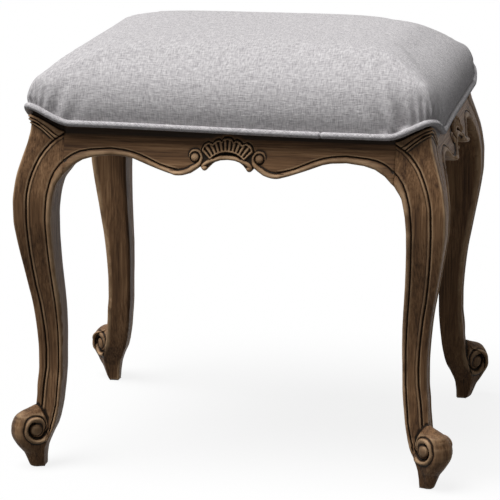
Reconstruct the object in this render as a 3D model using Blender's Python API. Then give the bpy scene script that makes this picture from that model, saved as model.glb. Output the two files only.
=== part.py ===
"""Dressing stool: four carved cabriole legs, serpentine rails and an upholstered linen seat.

Metres, +Z up. The origin is on the floor under the middle of the seat, the front faces -Y.
"""

import math

import bmesh
import bpy
from mathutils import Matrix, Vector

MM = 0.001

# Layout of the frame
LEG_SPACING_X = 452 * MM  # between the leg centre lines, left to right
LEG_SPACING_Y = 362.2 * MM  # between the leg centre lines, front to back
FOOT_HEIGHT = 100 * MM  # scroll foot and ankle
SHANK_LENGTH = 200 * MM  # ankle to knee
HEAD_HEIGHT = 108 * MM  # knee to the top of the rails
JOINT_INSET = 35.3 * MM  # leg centre line to the face that a rail butts against
RAIL_BACK = 18 * MM  # leg centre line to the inner face of a rail
GLUE_GAP = 0.3 * MM  # between pieces that are glued or pressed together

LEG_X = LEG_SPACING_X / 2
LEG_Y = LEG_SPACING_Y / 2
KNEE_Z = FOOT_HEIGHT + SHANK_LENGTH
RAIL_TOP = KNEE_Z + HEAD_HEIGHT

# Scroll foot. Each row is a level section: height in hundredths of the foot's, then in mm the inner corner,
# the plane of the outer face, the cheek's end along and across the diagonal, how deep the cheek is sunk there
# and the toe along the diagonal, then the toe's roundness and the grooves' depth as a share of the shank's.
FOOT_SECTIONS = (
    (0, -6.5, 7.3, 8.5, 5.2, 0.0, 13.4, 1.4, 0.0),
    (2, -8.0, 9.0, 10.5, 6.3, 0.0, 16.7, 1.4, 0.0),
    (11, -8.1, 11.2, 14.1, 9.0, 0.0, 22.5, 1.6, 0.0),
    (22, -9.3, 13.7, 18.2, 12.5, 0.3, 28.8, 1.9, 0.0),
    (33, -12.0, 14.0, 22.8, 14.0, 2.4, 35.0, 2.2, 0.0),
    (42, -14.5, 12.0, 26.0, 15.2, 4.2, 37.8, 2.4, 0.0),
    (50, -17.0, 9.4, 27.0, 16.3, 5.2, 37.3, 2.6, 0.2),
    (60, -19.4, 7.1, 20.5, 16.8, 5.0, 33.2, 2.3, 0.7),
    (63.5, -20.1, 6.7, 8.5, 14.8, 2.6, 30.4, 2.0, 0.9),
    (66, -20.6, 6.4, 4.2, 10.8, 1.0, 26.4, 2.0, 1.0),
    (69, -21.1, 6.0, 2.2, 8.4, 0.5, 19.2, 1.9, 1.0),
    (71.2, -21.5, 5.8, 1.2, 6.3, 0.2, 12.5, 1.6, 1.0),
    (75, -22.1, 5.3, 0.8, 5.2, 0.0, 8.6, 1.3, 1.0),
    (88, -23.5, 4.0, 0.4, 5.3, 0.0, 6.3, 1.12, 1.0),
)
FOOT_BEAD = 3.8 * MM  # width of the inner bead

# Shank, in mm: share of its length, outer face, inner corner, width of the corner panel and of the inner bead
SHANK_SECTIONS = (
    (0.00, 3.3, -24.7, 7.5, 3.8),
    (0.22, 1.4, -26.4, 8.8, 3.9),
    (0.45, 5.2, -26.1, 8.6, 4.8),
    (0.68, 12.7, -23.1, 9.4, 5.4),
    (0.86, 18.9, -21.4, 12.6, 5.6),
    (1.00, 22.5, -21.1, 15.1, 6.0),
)

# Head below the joint with the rails, in mm: depth under the rail top, then as on the shank
KNEE_SECTIONS = (
    (84, 22.7, -23.0, 15.8, 6.9),
    (67, 20.4, -27.4, 16.0, 8.3),
)

# Head beside the rails, in mm: depth under the rail top, rail face, leg corner, end of the corner panel,
# width of the inner bead, depth of the bead's groove, share of the arch that the section has taken up
HEAD_SECTIONS = (
    (55.0, 18.2, 18.2, 0.5, 11.0, 1.6, 0.0),
    (43.0, 14.8, 14.8, -5.0, 4.0, 0.9, 0.05),
    (30.0, 10.8, 10.4, -12.5, 2.0, 0.0, 0.35),
    (20.0, 7.6, 4.4, -22.0, 2.0, 0.0, 0.85),
    (13.0, 6.0, 4.8, -28.0, 2.0, 0.0, 1.0),
    (8.0, 4.8, 6.9, -31.0, 2.0, 0.0, 1.0),
    (4.0, 4.2, 5.2, -31.5, 2.0, 0.0, 1.0),
    (0.0, 3.6, 6.2, -31.5, 2.0, 0.0, 1.0),
)
PANEL_ROUNDNESS = 1.12  # 1 is a flat corner panel, 2 is a quarter round
GROOVE_DEPTH = 1.4 * MM  # beside the corner panel
BEAD_RELIEF = 1.6 * MM  # groove beside the bead
BEAD_SIDE = 3.0 * MM  # how far the bead turns onto the inner face
BEAD_SWELL = 0.45 * MM  # how far the bead stands out of the face
GROOVE_WIDTH = 1.35 * MM

# Arch of the leg heads, which the seat's lower edge follows
ARCH_RISE = 19 * MM
ARCH_SPAN = 47.3 * MM  # from the joint out to the arch's top
ARCH_EASE = 1.3

# Volutes of the feet
EYE_HEIGHT = 0.49 * FOOT_HEIGHT
EYE_ALONG = 15.3 * MM  # from the leg's centre line out along the diagonal
EYE_ACROSS = 13.2 * MM  # from the diagonal plane to the middle of the scroll's bead
EYE_RADIUS = 7.6 * MM
EYE_STANDS = 2.6 * MM
EYE_SUNK = 2.5 * MM
SCROLL_BEAD = 2.5 * MM  # radius of the scroll's bead
# Line of the scroll's bead: degrees round the eye, and distance from it in mm
SCROLL_TURN = (
    (22, 18.0),
    (65, 14.0),
    (110, 12.6),
    (155, 13.0),
    (200, 13.5),
    (245, 13.4),
    (295, 12.4),
    (350, 10.6),
)
CHEEK_TURN = 8  # degrees, cheeks drawn in towards the toe

# Rail outline, in mm: distance from the middle, depth of the lower edge under the rail top, bead height
CARVED_OUTLINE = (
    (0, 32.4, 2.5),
    (10, 33.2, 2.5),
    (19, 36.0, 2.5),
    (26, 40.6, 2.5),
    (31, 41.0, 4.5),
    (36, 45.0, 6.1),
    (44, 49.8, 6.2),
    (59, 51.9, 6.3),
)
# Sweep from the drop to the leg: share of the way, height under the rail top, height of the bead
SWEEP_OUTLINE = (
    (0.11, 48.8, 6.4),
    (0.24, 41.6, 7.0),
    (0.38, 34.5, 7.1),
    (0.52, 31.7, 7.3),
    (0.65, 31.9, 7.8),
    (0.78, 35.1, 9.2),
    (0.87, 40.5, 11.0),
    (0.94, 47.4, 12.5),
    (1.00, 55.0, 14.0),
)

# Carved shell, arched bead and volutes in the middle of each rail
SHELL_CENTRE = 50 * MM  # under the rail top
SHELL_INNER = 28 * MM
SHELL_OUTER = 41 * MM
SHELL_HALF_ANGLE = 47  # degrees
SHELL_FLUTES = 7
SHELL_STANDS = 3.4 * MM
SHELL_FLUTE_DEPTH = 1.3 * MM
SHELL_RIM = 3 * MM
SHELL_SCALLOP = 1.2 * MM
SHELL_SUNK = 2.0 * MM
BEADS_STAND = 0.5 * MM  # centres of the beads, eyes and curls over the rail's face
ARCH_BEAD = 2.3 * MM
# Line of the arched bead, in mm: distance from the middle, depth under the rail top
ARCH_BEAD_LINE = (
    (-26.3, 43.2),
    (-24.5, 37.5),
    (-18, 32.5),
    (-9.5, 29.6),
    (0, 28.7),
    (9.5, 29.6),
    (18, 32.5),
    (24.5, 37.5),
    (26.3, 43.2),
)
CURL_RADIUS = 3.4 * MM
VOLUTE_BEAD = 2.2 * MM
VOLUTE_LINE = ((42, 46.3), (35.5, 41.5), (31.0, 36.0), (29.8, 30.5), (32.2, 25.5), (36.6, 23.9), (40.8, 26.3))
VOLUTE_EYE = (36.2, 30.2)
VOLUTE_EYE_RADIUS = 4.3 * MM

# Dowels, corner blocks and screws
DOWEL_RADIUS = 4 * MM
DOWEL_LENGTH = 30 * MM
DOWEL_SINK = 5 * MM  # dowel axis behind the leg's centre line
DOWEL_DEPTHS = (13 * MM, 36 * MM)  # under the rail top
DOWEL_FIT = 0.3 * MM
BLOCK_REACH = 62 * MM  # along a rail's inner face, from the other rail's inner face
BLOCK_HEIGHT = 28 * MM
BLOCK_DROP = 2.5 * MM  # under the rail top
SCREW_RADIUS = 2 * MM
SCREW_HEAD_RADIUS = 4 * MM
SCREW_HEAD_LENGTH = 2.5 * MM
SCREW_BITE = 10 * MM  # how far a block's screw reaches into the rail
SCREW_FIT = 0.3 * MM
SCREW_PLACE = 26 * MM  # from the leg's joint face, along the rail
SEAT_SCREW_PLACE = 30 * MM  # from both rails' inner faces
SEAT_SCREW_BITE = 8 * MM

# Seat
SEAT_OVERHANG_X = 16.2 * MM  # from the leg centre lines to the seat's ends
SEAT_OVERHANG_Y = 13.4 * MM
SEAT_HALF_X = LEG_X + SEAT_OVERHANG_X
SEAT_HALF_Y = LEG_Y + SEAT_OVERHANG_Y
SEAT_CORNER = 17.0  # squareness of the seat's plan, 2 is an ellipse
CROWN_HEIGHT = 82 * MM  # seat edge to the top of the crown
CROWN_FLATNESS = 4.4
CROWN_EASE = 2.14
SEAT_COLUMNS = 16  # facets of the seat across its width and depth
SEAT_ROWS = 14
COVER_THICKNESS = 1.2 * MM
COVER_TUCK = 3.6 * MM  # how far the cover draws in behind the piping
FABRIC_GAP = 0.4 * MM
BOARD_THICKNESS = 9 * MM
BOARD_GAP = 0.8 * MM
EDGE_HEIGHT = BOARD_GAP + BOARD_THICKNESS + FABRIC_GAP  # seat edge over the rail top
PIPING_RADIUS = 3.75 * MM
PIPING_OVERHANG = 0.8 * MM  # piping centre outside the seat's widest line
DUST_COVER_THICKNESS = 0.6 * MM

ROOT_TWO = math.sqrt(2)
LEG_TURNS = {"back_right": 0, "back_left": 90, "front_left": 180, "front_right": 270}
RAIL_TURNS = {"front": 0, "right": 90, "back": 180, "left": 270}


def clear_scene():
    for obj in list(bpy.data.objects):
        bpy.data.objects.remove(obj)


def new_collection(name):
    collection = bpy.data.collections.new(name)
    bpy.context.scene.collection.children.link(collection)
    return collection


def material(name, colour, roughness):
    made = bpy.data.materials.new(name)
    made.use_nodes = True
    shader = made.node_tree.nodes["Principled BSDF"]
    shader.inputs["Base Color"].default_value = (*colour, 1)
    shader.inputs["Roughness"].default_value = roughness
    return made


def metal(name, colour, roughness):
    made = material(name, colour, roughness)
    made.node_tree.nodes["Principled BSDF"].inputs["Metallic"].default_value = 1
    return made


def blend(table, at):
    """Value at a place in rows of (place, value), on a smooth curve through them without overshoot."""
    if at <= table[0][0]:
        return table[0][1]
    if at >= table[-1][0]:
        return table[-1][1]
    slopes = [(b[1] - a[1]) / (b[0] - a[0]) for a, b in zip(table, table[1:])]
    tangents = [slopes[0]]
    for before, after in zip(slopes, slopes[1:]):
        tangents.append(2 * before * after / (before + after) if before * after > 0 else 0)
    tangents.append(slopes[-1])
    for i, (low, high) in enumerate(zip(table, table[1:])):
        if at <= high[0]:
            span = high[0] - low[0]
            t = (at - low[0]) / span
            start = (1 + 2 * t) * (1 - t) ** 2 * low[1] + t * (1 - t) ** 2 * span * tangents[i]
            end = t * t * (3 - 2 * t) * high[1] + t * t * (t - 1) * span * tangents[i + 1]
            return start + end
    return table[-1][1]


def arch(out_x, out_y):
    """Rise of the leg heads' tops and of the seat's edge, at offsets from a leg's centre lines."""
    shares = [min(1, max(0, (v + JOINT_INSET) / ARCH_SPAN)) for v in (out_x, out_y)]
    return ARCH_RISE * math.prod(math.sin(share * math.pi / 2) ** ARCH_EASE for share in shares)


RAIL_FACE = [(-row[0] * MM, row[1] * MM) for row in HEAD_SECTIONS]


def rail_face(depth):
    """How far a rail's moulded face stands out from the leg's centre line, at a depth under the rail top."""
    return blend(RAIL_FACE, -depth)


def finish_mesh(name, bm, smooth_angle=35):
    """A mesh from this bmesh, with outward normals and smooth shading but for its sharp edges."""
    bmesh.ops.recalc_face_normals(bm, faces=bm.faces)
    mesh = bpy.data.meshes.new(name)
    bm.to_mesh(mesh)
    bm.free()
    mesh.shade_smooth()
    mesh.set_sharp_from_angle(angle=math.radians(smooth_angle))
    return mesh


def place(collection, name, mesh, look, location=(0, 0, 0), turn=0):
    """An object for this mesh, turned about the vertical by an angle in degrees."""
    obj = bpy.data.objects.new(name, mesh)
    collection.objects.link(obj)
    obj.location = location
    obj.rotation_euler = (0, 0, math.radians(turn))
    if look and not mesh.materials:
        mesh.materials.append(look)
    return obj


def apply_shapes(obj, operation, name, meshes):
    """Joins these meshes to the object, or cuts them from it, through hidden helper objects."""
    helpers = bpy.data.collections.new(name)
    cutters.children.link(helpers)
    for index, mesh in enumerate(meshes):
        tool = place(helpers, f"{name}_{index}", mesh, None)
        tool.hide_render = True
        tool.display_type = "WIRE"
    modifier = obj.modifiers.new(name, "BOOLEAN")
    modifier.operation = operation
    modifier.solver = "EXACT"
    modifier.operand_type = "COLLECTION"
    modifier.collection = helpers


def settled_mesh(obj, name):
    """The object's mesh with its modifiers applied, for copies that share it."""
    graph = bpy.context.evaluated_depsgraph_get()
    mesh = bpy.data.meshes.new_from_object(obj.evaluated_get(graph))
    mesh.name = name
    bpy.data.objects.remove(obj)
    return mesh


def loft(rings, cap_rows=()):
    """A closed bmesh skin over rings of equal length. cap_rows are further rings inside the last one."""
    bm = bmesh.new()
    rows = [[bm.verts.new(p) for p in ring] for ring in (*rings, *cap_rows)]
    for low, high in zip(rows, rows[1:]):
        for i in range(len(low)):
            j = (i + 1) % len(low)
            bm.faces.new((low[i], low[j], high[j], high[i]))
    bm.faces.new(rows[0])
    bm.faces.new(rows[-1])
    return bm


def prism(outline, low, high):
    """A closed bmesh of a plan outline between two heights."""
    return loft([[(x, y, z) for x, y in outline] for z in (low, high)])


def rod(radius, length, sides, middle, axis):
    """A closed bmesh cylinder about an axis."""
    bm = bmesh.new()
    bmesh.ops.create_cone(bm, cap_ends=True, segments=sides, radius1=radius, radius2=radius, depth=length)
    turn = Vector((0, 0, 1)).rotation_difference(Vector(axis)).to_matrix().to_4x4()
    bmesh.ops.transform(bm, matrix=Matrix.Translation(middle) @ turn, verts=bm.verts)
    return bm


def tube(name, points, radius, resolution=1, closed=False):
    """A round bead along points, as a closed mesh."""
    curve = bpy.data.curves.new(name, "CURVE")
    curve.dimensions = "3D"
    curve.bevel_depth = radius
    curve.bevel_resolution = resolution
    curve.use_fill_caps = not closed
    spline = curve.splines.new("POLY")
    spline.points.add(len(points) - 1)
    for point, at in zip(spline.points, points):
        point.co = (*at, 1)
    spline.use_cyclic_u = closed
    guide = bpy.data.objects.new(name, curve)
    bpy.context.scene.collection.objects.link(guide)
    bpy.context.view_layer.update()
    graph = bpy.context.evaluated_depsgraph_get()
    mesh = bpy.data.meshes.new_from_object(guide.evaluated_get(graph))
    bpy.data.objects.remove(guide)
    bm = bmesh.new()
    bm.from_mesh(mesh)
    bmesh.ops.remove_doubles(bm, verts=bm.verts, dist=0.01 * MM)
    return finish_mesh(name, bm, 60)


def ball(name, radius, middle, flatten=1.0):
    """A round boss, flattened along Y."""
    bm = bmesh.new()
    bmesh.ops.create_uvsphere(bm, u_segments=7, v_segments=4, radius=radius)
    bmesh.ops.scale(bm, vec=(1, flatten, 1), verts=bm.verts)
    bmesh.ops.translate(bm, vec=middle, verts=bm.verts)
    return finish_mesh(name, bm, 60)


# Legs


def leg_places():
    """Name of each corner, the turn of its leg in degrees and where the leg's centre line meets the floor."""
    for corner, turn in LEG_TURNS.items():
        outward = Matrix.Rotation(math.radians(turn), 3, "Z") @ Vector((1, 1, 0))
        yield corner, turn, (math.copysign(LEG_X, outward.x), math.copysign(LEG_Y, outward.y), 0)


def superellipse(centre, along, across, roundness, steps):
    """Points from (centre, across) to just before the tip at centre + along, on one side of the diagonal."""
    points = []
    for step in range(1, steps):
        angle = math.pi / 2 * (1 - step / steps)
        x = math.cos(angle) ** (2 / roundness)
        y = math.sin(angle) ** (2 / roundness)
        points.append((centre + along * x, across * y))
    return points


def across_diagonal(along, across):
    """From distances along and across the diagonal to offsets from the two centre lines."""
    return (along - across) / ROOT_TWO, (along + across) / ROOT_TWO


def moulded_side(side, end, tip, roundness, bead, bead_groove, panel_groove, sunk=0.0):
    """One carved side of a leg's section, from its inner edge to just before the outer corner.

    The corner panel starts at end. The field beside it ends lower than that by sunk.
    """
    along = Vector(end) - Vector(side)
    run = along.length
    along.normalize()
    out = Vector((-along.y, along.x))
    points = [Vector((side[0], side[1] - BEAD_SIDE))]
    points.append(Vector(side) + along * bead * 0.35 + out * BEAD_SWELL / 2)
    points.append(Vector(side) + along * bead - out * bead_groove)
    points.append(Vector(side) + along * min(bead + GROOVE_WIDTH, 0.6 * run) - out * 0.1 * bead_groove)
    points.append(Vector(end) - along * GROOVE_WIDTH - out * sunk)
    points.append(Vector(end) - out * panel_groove)
    end_along = (end[0] + end[1]) / ROOT_TWO
    end_across = (end[1] - end[0]) / ROOT_TWO
    for nose in superellipse(end_along, tip - end_along, end_across, roundness, 4):
        points.append(Vector(across_diagonal(*nose)))
    return [(p.x, p.y) for p in points]


def ring_from_side(inner, side, tip, z):
    """A leg's whole section: the inner corner, one side, the outer corner and the mirrored side."""
    corner = tip / ROOT_TWO
    mirrored = [(y, x) for x, y in reversed(side)]
    return [(x, y, z) for x, y in ((inner, inner), *side, (corner, corner), *mirrored)]


def plain_ring(z, *sizes):
    outer, inner, panel, bead = (size * MM for size in sizes)
    end = (outer - panel, outer)
    tip = outer * ROOT_TWO
    side = moulded_side((inner, outer), end, tip, PANEL_ROUNDNESS, bead, BEAD_RELIEF, GROOVE_DEPTH)
    return ring_from_side(inner, side, tip, z)


def foot_ring(row):
    height, *sizes, roundness, groove = row
    inner, face, along, across, sunk, toe = (size * MM for size in sizes)
    end = across_diagonal(along, across)
    depths = (BEAD_RELIEF * groove, sunk + GROOVE_DEPTH * groove, sunk)
    side = moulded_side((inner, face), end, toe, roundness, FOOT_BEAD, *depths)
    return ring_from_side(inner, side, toe, height / 100 * FOOT_HEIGHT)


def head_ring(row):
    """A section beside the rails: flush with them at the joint, arched and moulded out at the corner."""
    depth, face, corner, panel_end, bead, groove = (value * MM for value in row[:6])
    taken = row[6]
    tip = face * ROOT_TWO
    panel_groove = GROOVE_DEPTH * 0.6
    ends = (-JOINT_INSET, face), (panel_end, face)
    side = moulded_side(*ends, tip, PANEL_ROUNDNESS, bead, groove, panel_groove)
    points = ring_from_side(-JOINT_INSET, side, tip, RAIL_TOP - depth)
    shaped = []
    for x, y, z in points:
        rise = arch(x, y)
        grow = (corner - face) * rise / ARCH_RISE
        moved_x = x + grow if x > 0 or x > y else x
        moved_y = y + grow if y > 0 or y > x else y
        shaped.append((moved_x, moved_y, z + rise * taken))
    return shaped


def leg_rings():
    rings = [foot_ring(row) for row in FOOT_SECTIONS]
    rings += [plain_ring(FOOT_HEIGHT + share * SHANK_LENGTH, *sizes) for share, *sizes in SHANK_SECTIONS]
    rings += [plain_ring(RAIL_TOP - depth * MM, *sizes) for depth, *sizes in KNEE_SECTIONS]
    return rings + [head_ring(row) for row in HEAD_SECTIONS]


def head_cap(ring):
    """A smaller ring on the arched top of the leg head."""
    middle = -JOINT_INSET / 2
    points = [(middle + (x - middle) * 0.45, middle + (y - middle) * 0.45) for x, y, _ in ring]
    return [(x, y, RAIL_TOP + arch(x, y)) for x, y in points]


def volute_shapes(side):
    """The scroll's bead and eye on one cheek of a foot. side is 1 or -1 across the diagonal."""
    cheek = Matrix.Rotation(math.radians(45), 4, "Z")
    cheek = cheek @ Matrix.Translation((EYE_ALONG, side * EYE_ACROSS, EYE_HEIGHT))
    cheek = cheek @ Matrix.Rotation(math.radians(-side * CHEEK_TURN), 4, "Z")
    path = []
    for angle, radius in SCROLL_TURN:
        turn = math.radians(angle)
        path.append(Vector((-math.cos(turn), 0, -math.sin(turn))) * radius * MM)
    bead = tube(f"scroll_bead_{side}", path, SCROLL_BEAD)
    eye_length = EYE_STANDS + EYE_SUNK
    middle = (0, side * (EYE_STANDS - EYE_SUNK) / 2, 0)
    eye = finish_mesh(f"scroll_eye_{side}", rod(EYE_RADIUS, eye_length, 10, middle, (0, 1, 0)))
    for mesh in (bead, eye):
        mesh.transform(cheek)
    return [bead, eye]


def dowel_middles():
    """Middle of each dowel in a leg, with its axis, at offsets from the leg's centre lines."""
    for depth in DOWEL_DEPTHS:
        z = RAIL_TOP - depth
        yield (-JOINT_INSET, -DOWEL_SINK, z), (1, 0, 0)
        yield (-DOWEL_SINK, -JOINT_INSET, z), (0, 1, 0)


def dowel_hole(middle, axis):
    bore = rod(DOWEL_RADIUS + DOWEL_FIT, DOWEL_LENGTH + 2 * DOWEL_FIT, 8, middle, axis)
    return finish_mesh("dowel_hole", bore)


def make_legs():
    rings = leg_rings()
    body = place(stool, "leg_body", finish_mesh("leg_body", loft(rings, [head_cap(rings[-1])]), 30), None)
    apply_shapes(body, "UNION", "leg_volutes", volute_shapes(1) + volute_shapes(-1))
    apply_shapes(body, "DIFFERENCE", "leg_dowel_holes", [dowel_hole(*dowel) for dowel in dowel_middles()])
    mesh = settled_mesh(body, "cabriole_leg")
    for corner, turn, location in leg_places():
        place(stool, f"leg_{corner}", mesh, stained_wood, location, turn)


# Rails


def rail_outline(half_length):
    """Rows of distance from the middle, depth of the lower edge and height of the bead, from end to end."""
    drop = CARVED_OUTLINE[-1][0] * MM
    half = [(x * MM, depth * MM, bead * MM) for x, depth, bead in CARVED_OUTLINE]
    sweep = half_length - drop
    half += [(drop + share * sweep, depth * MM, bead * MM) for share, depth, bead in SWEEP_OUTLINE]
    return [(-x, depth, bead) for x, depth, bead in reversed(half[1:])] + half


def rail_ring(x, depth, bead):
    """Section of a rail: flat back and top, moulded front, bead along the lower edge."""
    face = rail_face(depth)
    bead_top = depth - bead
    field = bead_top - GROOVE_WIDTH
    points = [(-RAIL_BACK, depth), (face - BEAD_SIDE, depth), (face - BEAD_SWELL, depth - 0.15 * bead)]
    points.append((rail_face(depth - 0.5 * bead) + BEAD_SWELL, depth - 0.5 * bead))
    points.append((rail_face(bead_top) - BEAD_RELIEF, bead_top))
    for share in (0, 0.5, 1):
        level = field * (1 - share)
        points.append((rail_face(level), level))
    points.append((-RAIL_BACK, 0))
    return [(x, -out, RAIL_TOP - down) for out, down in points]


def on_face(x, depth, stands=0.0):
    """A point on a rail's moulded face, or standing out from it."""
    return Vector((x, -(rail_face(depth) + stands), RAIL_TOP - depth))


def shell_mesh():
    """Fan of flutes with a scalloped rim, its back sunk into the rail."""
    columns = 2 * SHELL_FLUTES + 1
    rows = []
    for radius, stands, flute in (
        (SHELL_INNER, -SHELL_SUNK, 0),
        (SHELL_INNER, 0.6, 0.3),
        (SHELL_OUTER - SHELL_RIM, 1.0, 1),
        (SHELL_OUTER, 0.7, 0.4),
        (SHELL_OUTER, -SHELL_SUNK, 0),
    ):
        row = []
        for column in range(columns):
            share = column / (columns - 1) * 2 - 1
            angle = math.radians(90 - share * SHELL_HALF_ANGLE)
            valley = column % 2
            reach = radius - (SHELL_SCALLOP if valley and radius == SHELL_OUTER else 0)
            height = stands if stands < 0 else SHELL_STANDS * stands - SHELL_FLUTE_DEPTH * flute * valley
            x = reach * math.cos(angle)
            depth = SHELL_CENTRE - reach * math.sin(angle)
            row.append(on_face(x, depth, height))
        rows.append(row)
    bm = bmesh.new()
    grid = [[bm.verts.new(p) for p in row] for row in rows]
    for low, high in zip(grid, grid[1:] + grid[:1]):
        for i in range(columns - 1):
            bm.faces.new((low[i], low[i + 1], high[i + 1], high[i]))
    for end in (0, -1):
        bm.faces.new([row[end] for row in grid])
    return finish_mesh("shell", bm, 50)


def carving_shapes():
    """The shell, the arched bead with its end curls, and the two volutes, to be joined to a rail."""
    meshes = [shell_mesh()]
    arch_line = [on_face(x * MM, depth * MM, BEADS_STAND) for x, depth in ARCH_BEAD_LINE]
    meshes.append(tube("arch_bead", arch_line, ARCH_BEAD))
    for side in (-1, 1):
        line = [on_face(side * x * MM, depth * MM, BEADS_STAND) for x, depth in VOLUTE_LINE]
        meshes.append(tube("volute_bead", line, VOLUTE_BEAD))
        eye = on_face(side * VOLUTE_EYE[0] * MM, VOLUTE_EYE[1] * MM, BEADS_STAND)
        meshes.append(ball("volute_eye", VOLUTE_EYE_RADIUS, eye, 0.75))
        curl_x, curl_depth = ARCH_BEAD_LINE[0 if side < 0 else -1]
        meshes.append(ball("end_curl", CURL_RADIUS, on_face(curl_x * MM, curl_depth * MM, BEADS_STAND)))
    return meshes


def rail_length_mesh(name, half_length):
    half = half_length - GLUE_GAP
    rows = [(max(-half, min(half, x)), depth, bead) for x, depth, bead in rail_outline(half_length)]
    body = place(stool, name, finish_mesh(name, loft([rail_ring(*row) for row in rows]), 30), None)
    apply_shapes(body, "UNION", f"{name}_carving", carving_shapes())
    holes = []
    for side in (-1, 1):
        for depth in DOWEL_DEPTHS:
            holes.append(dowel_hole((side * half_length, DOWEL_SINK, RAIL_TOP - depth), (1, 0, 0)))
        middle = (side * (half_length - SCREW_PLACE), RAIL_BACK, block_middle_z())
        pilot = rod(SCREW_RADIUS + SCREW_FIT, 2 * (SCREW_BITE + SCREW_FIT), 8, middle, (0, 1, 0))
        holes.append(finish_mesh("pilot", pilot))
    apply_shapes(body, "DIFFERENCE", f"{name}_holes", holes)
    return settled_mesh(body, name)


def make_rails():
    long_rail = rail_length_mesh("long_rail", LEG_X - JOINT_INSET)
    short_rail = rail_length_mesh("short_rail", LEG_Y - JOINT_INSET)
    for side, turn in RAIL_TURNS.items():
        outward = Matrix.Rotation(math.radians(turn), 3, "Z") @ Vector((0, -1, 0))
        location = (round(outward.x) * LEG_X, round(outward.y) * LEG_Y, 0)
        mesh = long_rail if side in ("front", "back") else short_rail
        place(stool, f"rail_{side}", mesh, stained_wood, location, turn)


# Dowels, corner blocks and screws


def block_middle_z():
    return RAIL_TOP - BLOCK_DROP - BLOCK_HEIGHT / 2


def make_dowels():
    for corner, turn, location in leg_places():
        for index, (middle, axis) in enumerate(dowel_middles()):
            mesh = finish_mesh("dowel", rod(DOWEL_RADIUS, DOWEL_LENGTH, 8, middle, axis))
            place(stool, f"dowel_{corner}_{index + 1}", mesh, plain_wood, location, turn)


def screw(length, head_at, axis):
    """A countersunk screw from the middle of its head's face along an axis."""
    bm = bmesh.new()
    radii = {"radius1": SCREW_HEAD_RADIUS, "radius2": SCREW_RADIUS}
    head = bmesh.ops.create_cone(bm, cap_ends=True, segments=8, depth=SCREW_HEAD_LENGTH, **radii)
    bmesh.ops.translate(bm, vec=(0, 0, SCREW_HEAD_LENGTH / 2), verts=head["verts"])
    bm.faces.ensure_lookup_table()
    end = max(bm.faces, key=lambda face: face.calc_center_median().z)
    moved = bmesh.ops.extrude_face_region(bm, geom=[end])["geom"]
    bmesh.ops.delete(bm, geom=[end], context="FACES")
    shank = [item for item in moved if isinstance(item, bmesh.types.BMVert)]
    bmesh.ops.translate(bm, vec=(0, 0, length - SCREW_HEAD_LENGTH), verts=shank)
    turn = Vector((0, 0, 1)).rotation_difference(Vector(axis)).to_matrix().to_4x4()
    bmesh.ops.transform(bm, matrix=Matrix.Translation(head_at) @ turn, verts=bm.verts)
    return finish_mesh("screw", bm)


def block_outline():
    """Plan of a corner block, notched round the leg, at offsets from the leg's centre lines."""
    near = -RAIL_BACK - GLUE_GAP
    leg = -JOINT_INSET - GLUE_GAP
    far = -RAIL_BACK - BLOCK_REACH
    return [(far, near), (leg, near), (leg, leg), (near, leg), (near, far)]


def slope_at(x):
    """The block's sloping face, on the line of offset x."""
    return -2 * RAIL_BACK - BLOCK_REACH - GLUE_GAP - x


def make_corner_blocks():
    low = RAIL_TOP - BLOCK_DROP - BLOCK_HEIGHT
    place_x = -JOINT_INSET - SCREW_PLACE
    head_y = slope_at(place_x) + SCREW_HEAD_RADIUS
    rail_screw = -RAIL_BACK + SCREW_BITE - head_y
    seat_at = -RAIL_BACK - SEAT_SCREW_PLACE
    seat_length = BLOCK_HEIGHT + BLOCK_DROP + BOARD_GAP + SEAT_SCREW_BITE
    middle_z = block_middle_z()
    block = place(stool, "block", finish_mesh("block", prism(block_outline(), low, low + BLOCK_HEIGHT)), None)
    bores = []
    for at, axis, length in (
        ((place_x, head_y, middle_z), (0, 1, 0), rail_screw),
        ((head_y, place_x, middle_z), (1, 0, 0), rail_screw),
        ((seat_at, seat_at, low), (0, 0, 1), seat_length),
    ):
        bore = rod(SCREW_RADIUS + SCREW_FIT, 2 * length, 8, Vector(at) + Vector(axis) * length, axis)
        bores.append(finish_mesh("bore", bore))
        well = rod(
            SCREW_HEAD_RADIUS + SCREW_FIT,
            4 * SCREW_HEAD_RADIUS,
            8,
            Vector(at) + Vector(axis) * (SCREW_HEAD_LENGTH + SCREW_FIT - 2 * SCREW_HEAD_RADIUS),
            axis,
        )
        bores.append(finish_mesh("well", well))
    apply_shapes(block, "DIFFERENCE", "block_bores", bores)
    block_mesh = settled_mesh(block, "corner_block")
    rail_meshes = [
        screw(rail_screw, (place_x, head_y, middle_z), (0, 1, 0)),
        screw(rail_screw, (head_y, place_x, middle_z), (1, 0, 0)),
    ]
    seat_mesh = screw(seat_length, (seat_at, seat_at, low), (0, 0, 1))
    for corner, turn, location in leg_places():
        place(stool, f"corner_block_{corner}", block_mesh, plain_wood, location, turn)
        for index, mesh in enumerate(rail_meshes):
            place(stool, f"block_screw_{corner}_{index + 1}", mesh, steel, location, turn)
        place(stool, f"seat_screw_{corner}", seat_mesh, steel, location, turn)


# Seat


def notched_outline(half_x, half_y, notch):
    """A rectangle with square notches that reach in from the leg centre lines by notch."""
    inner_x = LEG_X - notch
    inner_y = LEG_Y - notch
    quarter = [(half_x, inner_y), (inner_x, inner_y), (inner_x, half_y)]
    right = quarter + [(-x, y) for x, y in reversed(quarter)]
    return right + [(-x, -y) for x, y in right]


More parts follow.
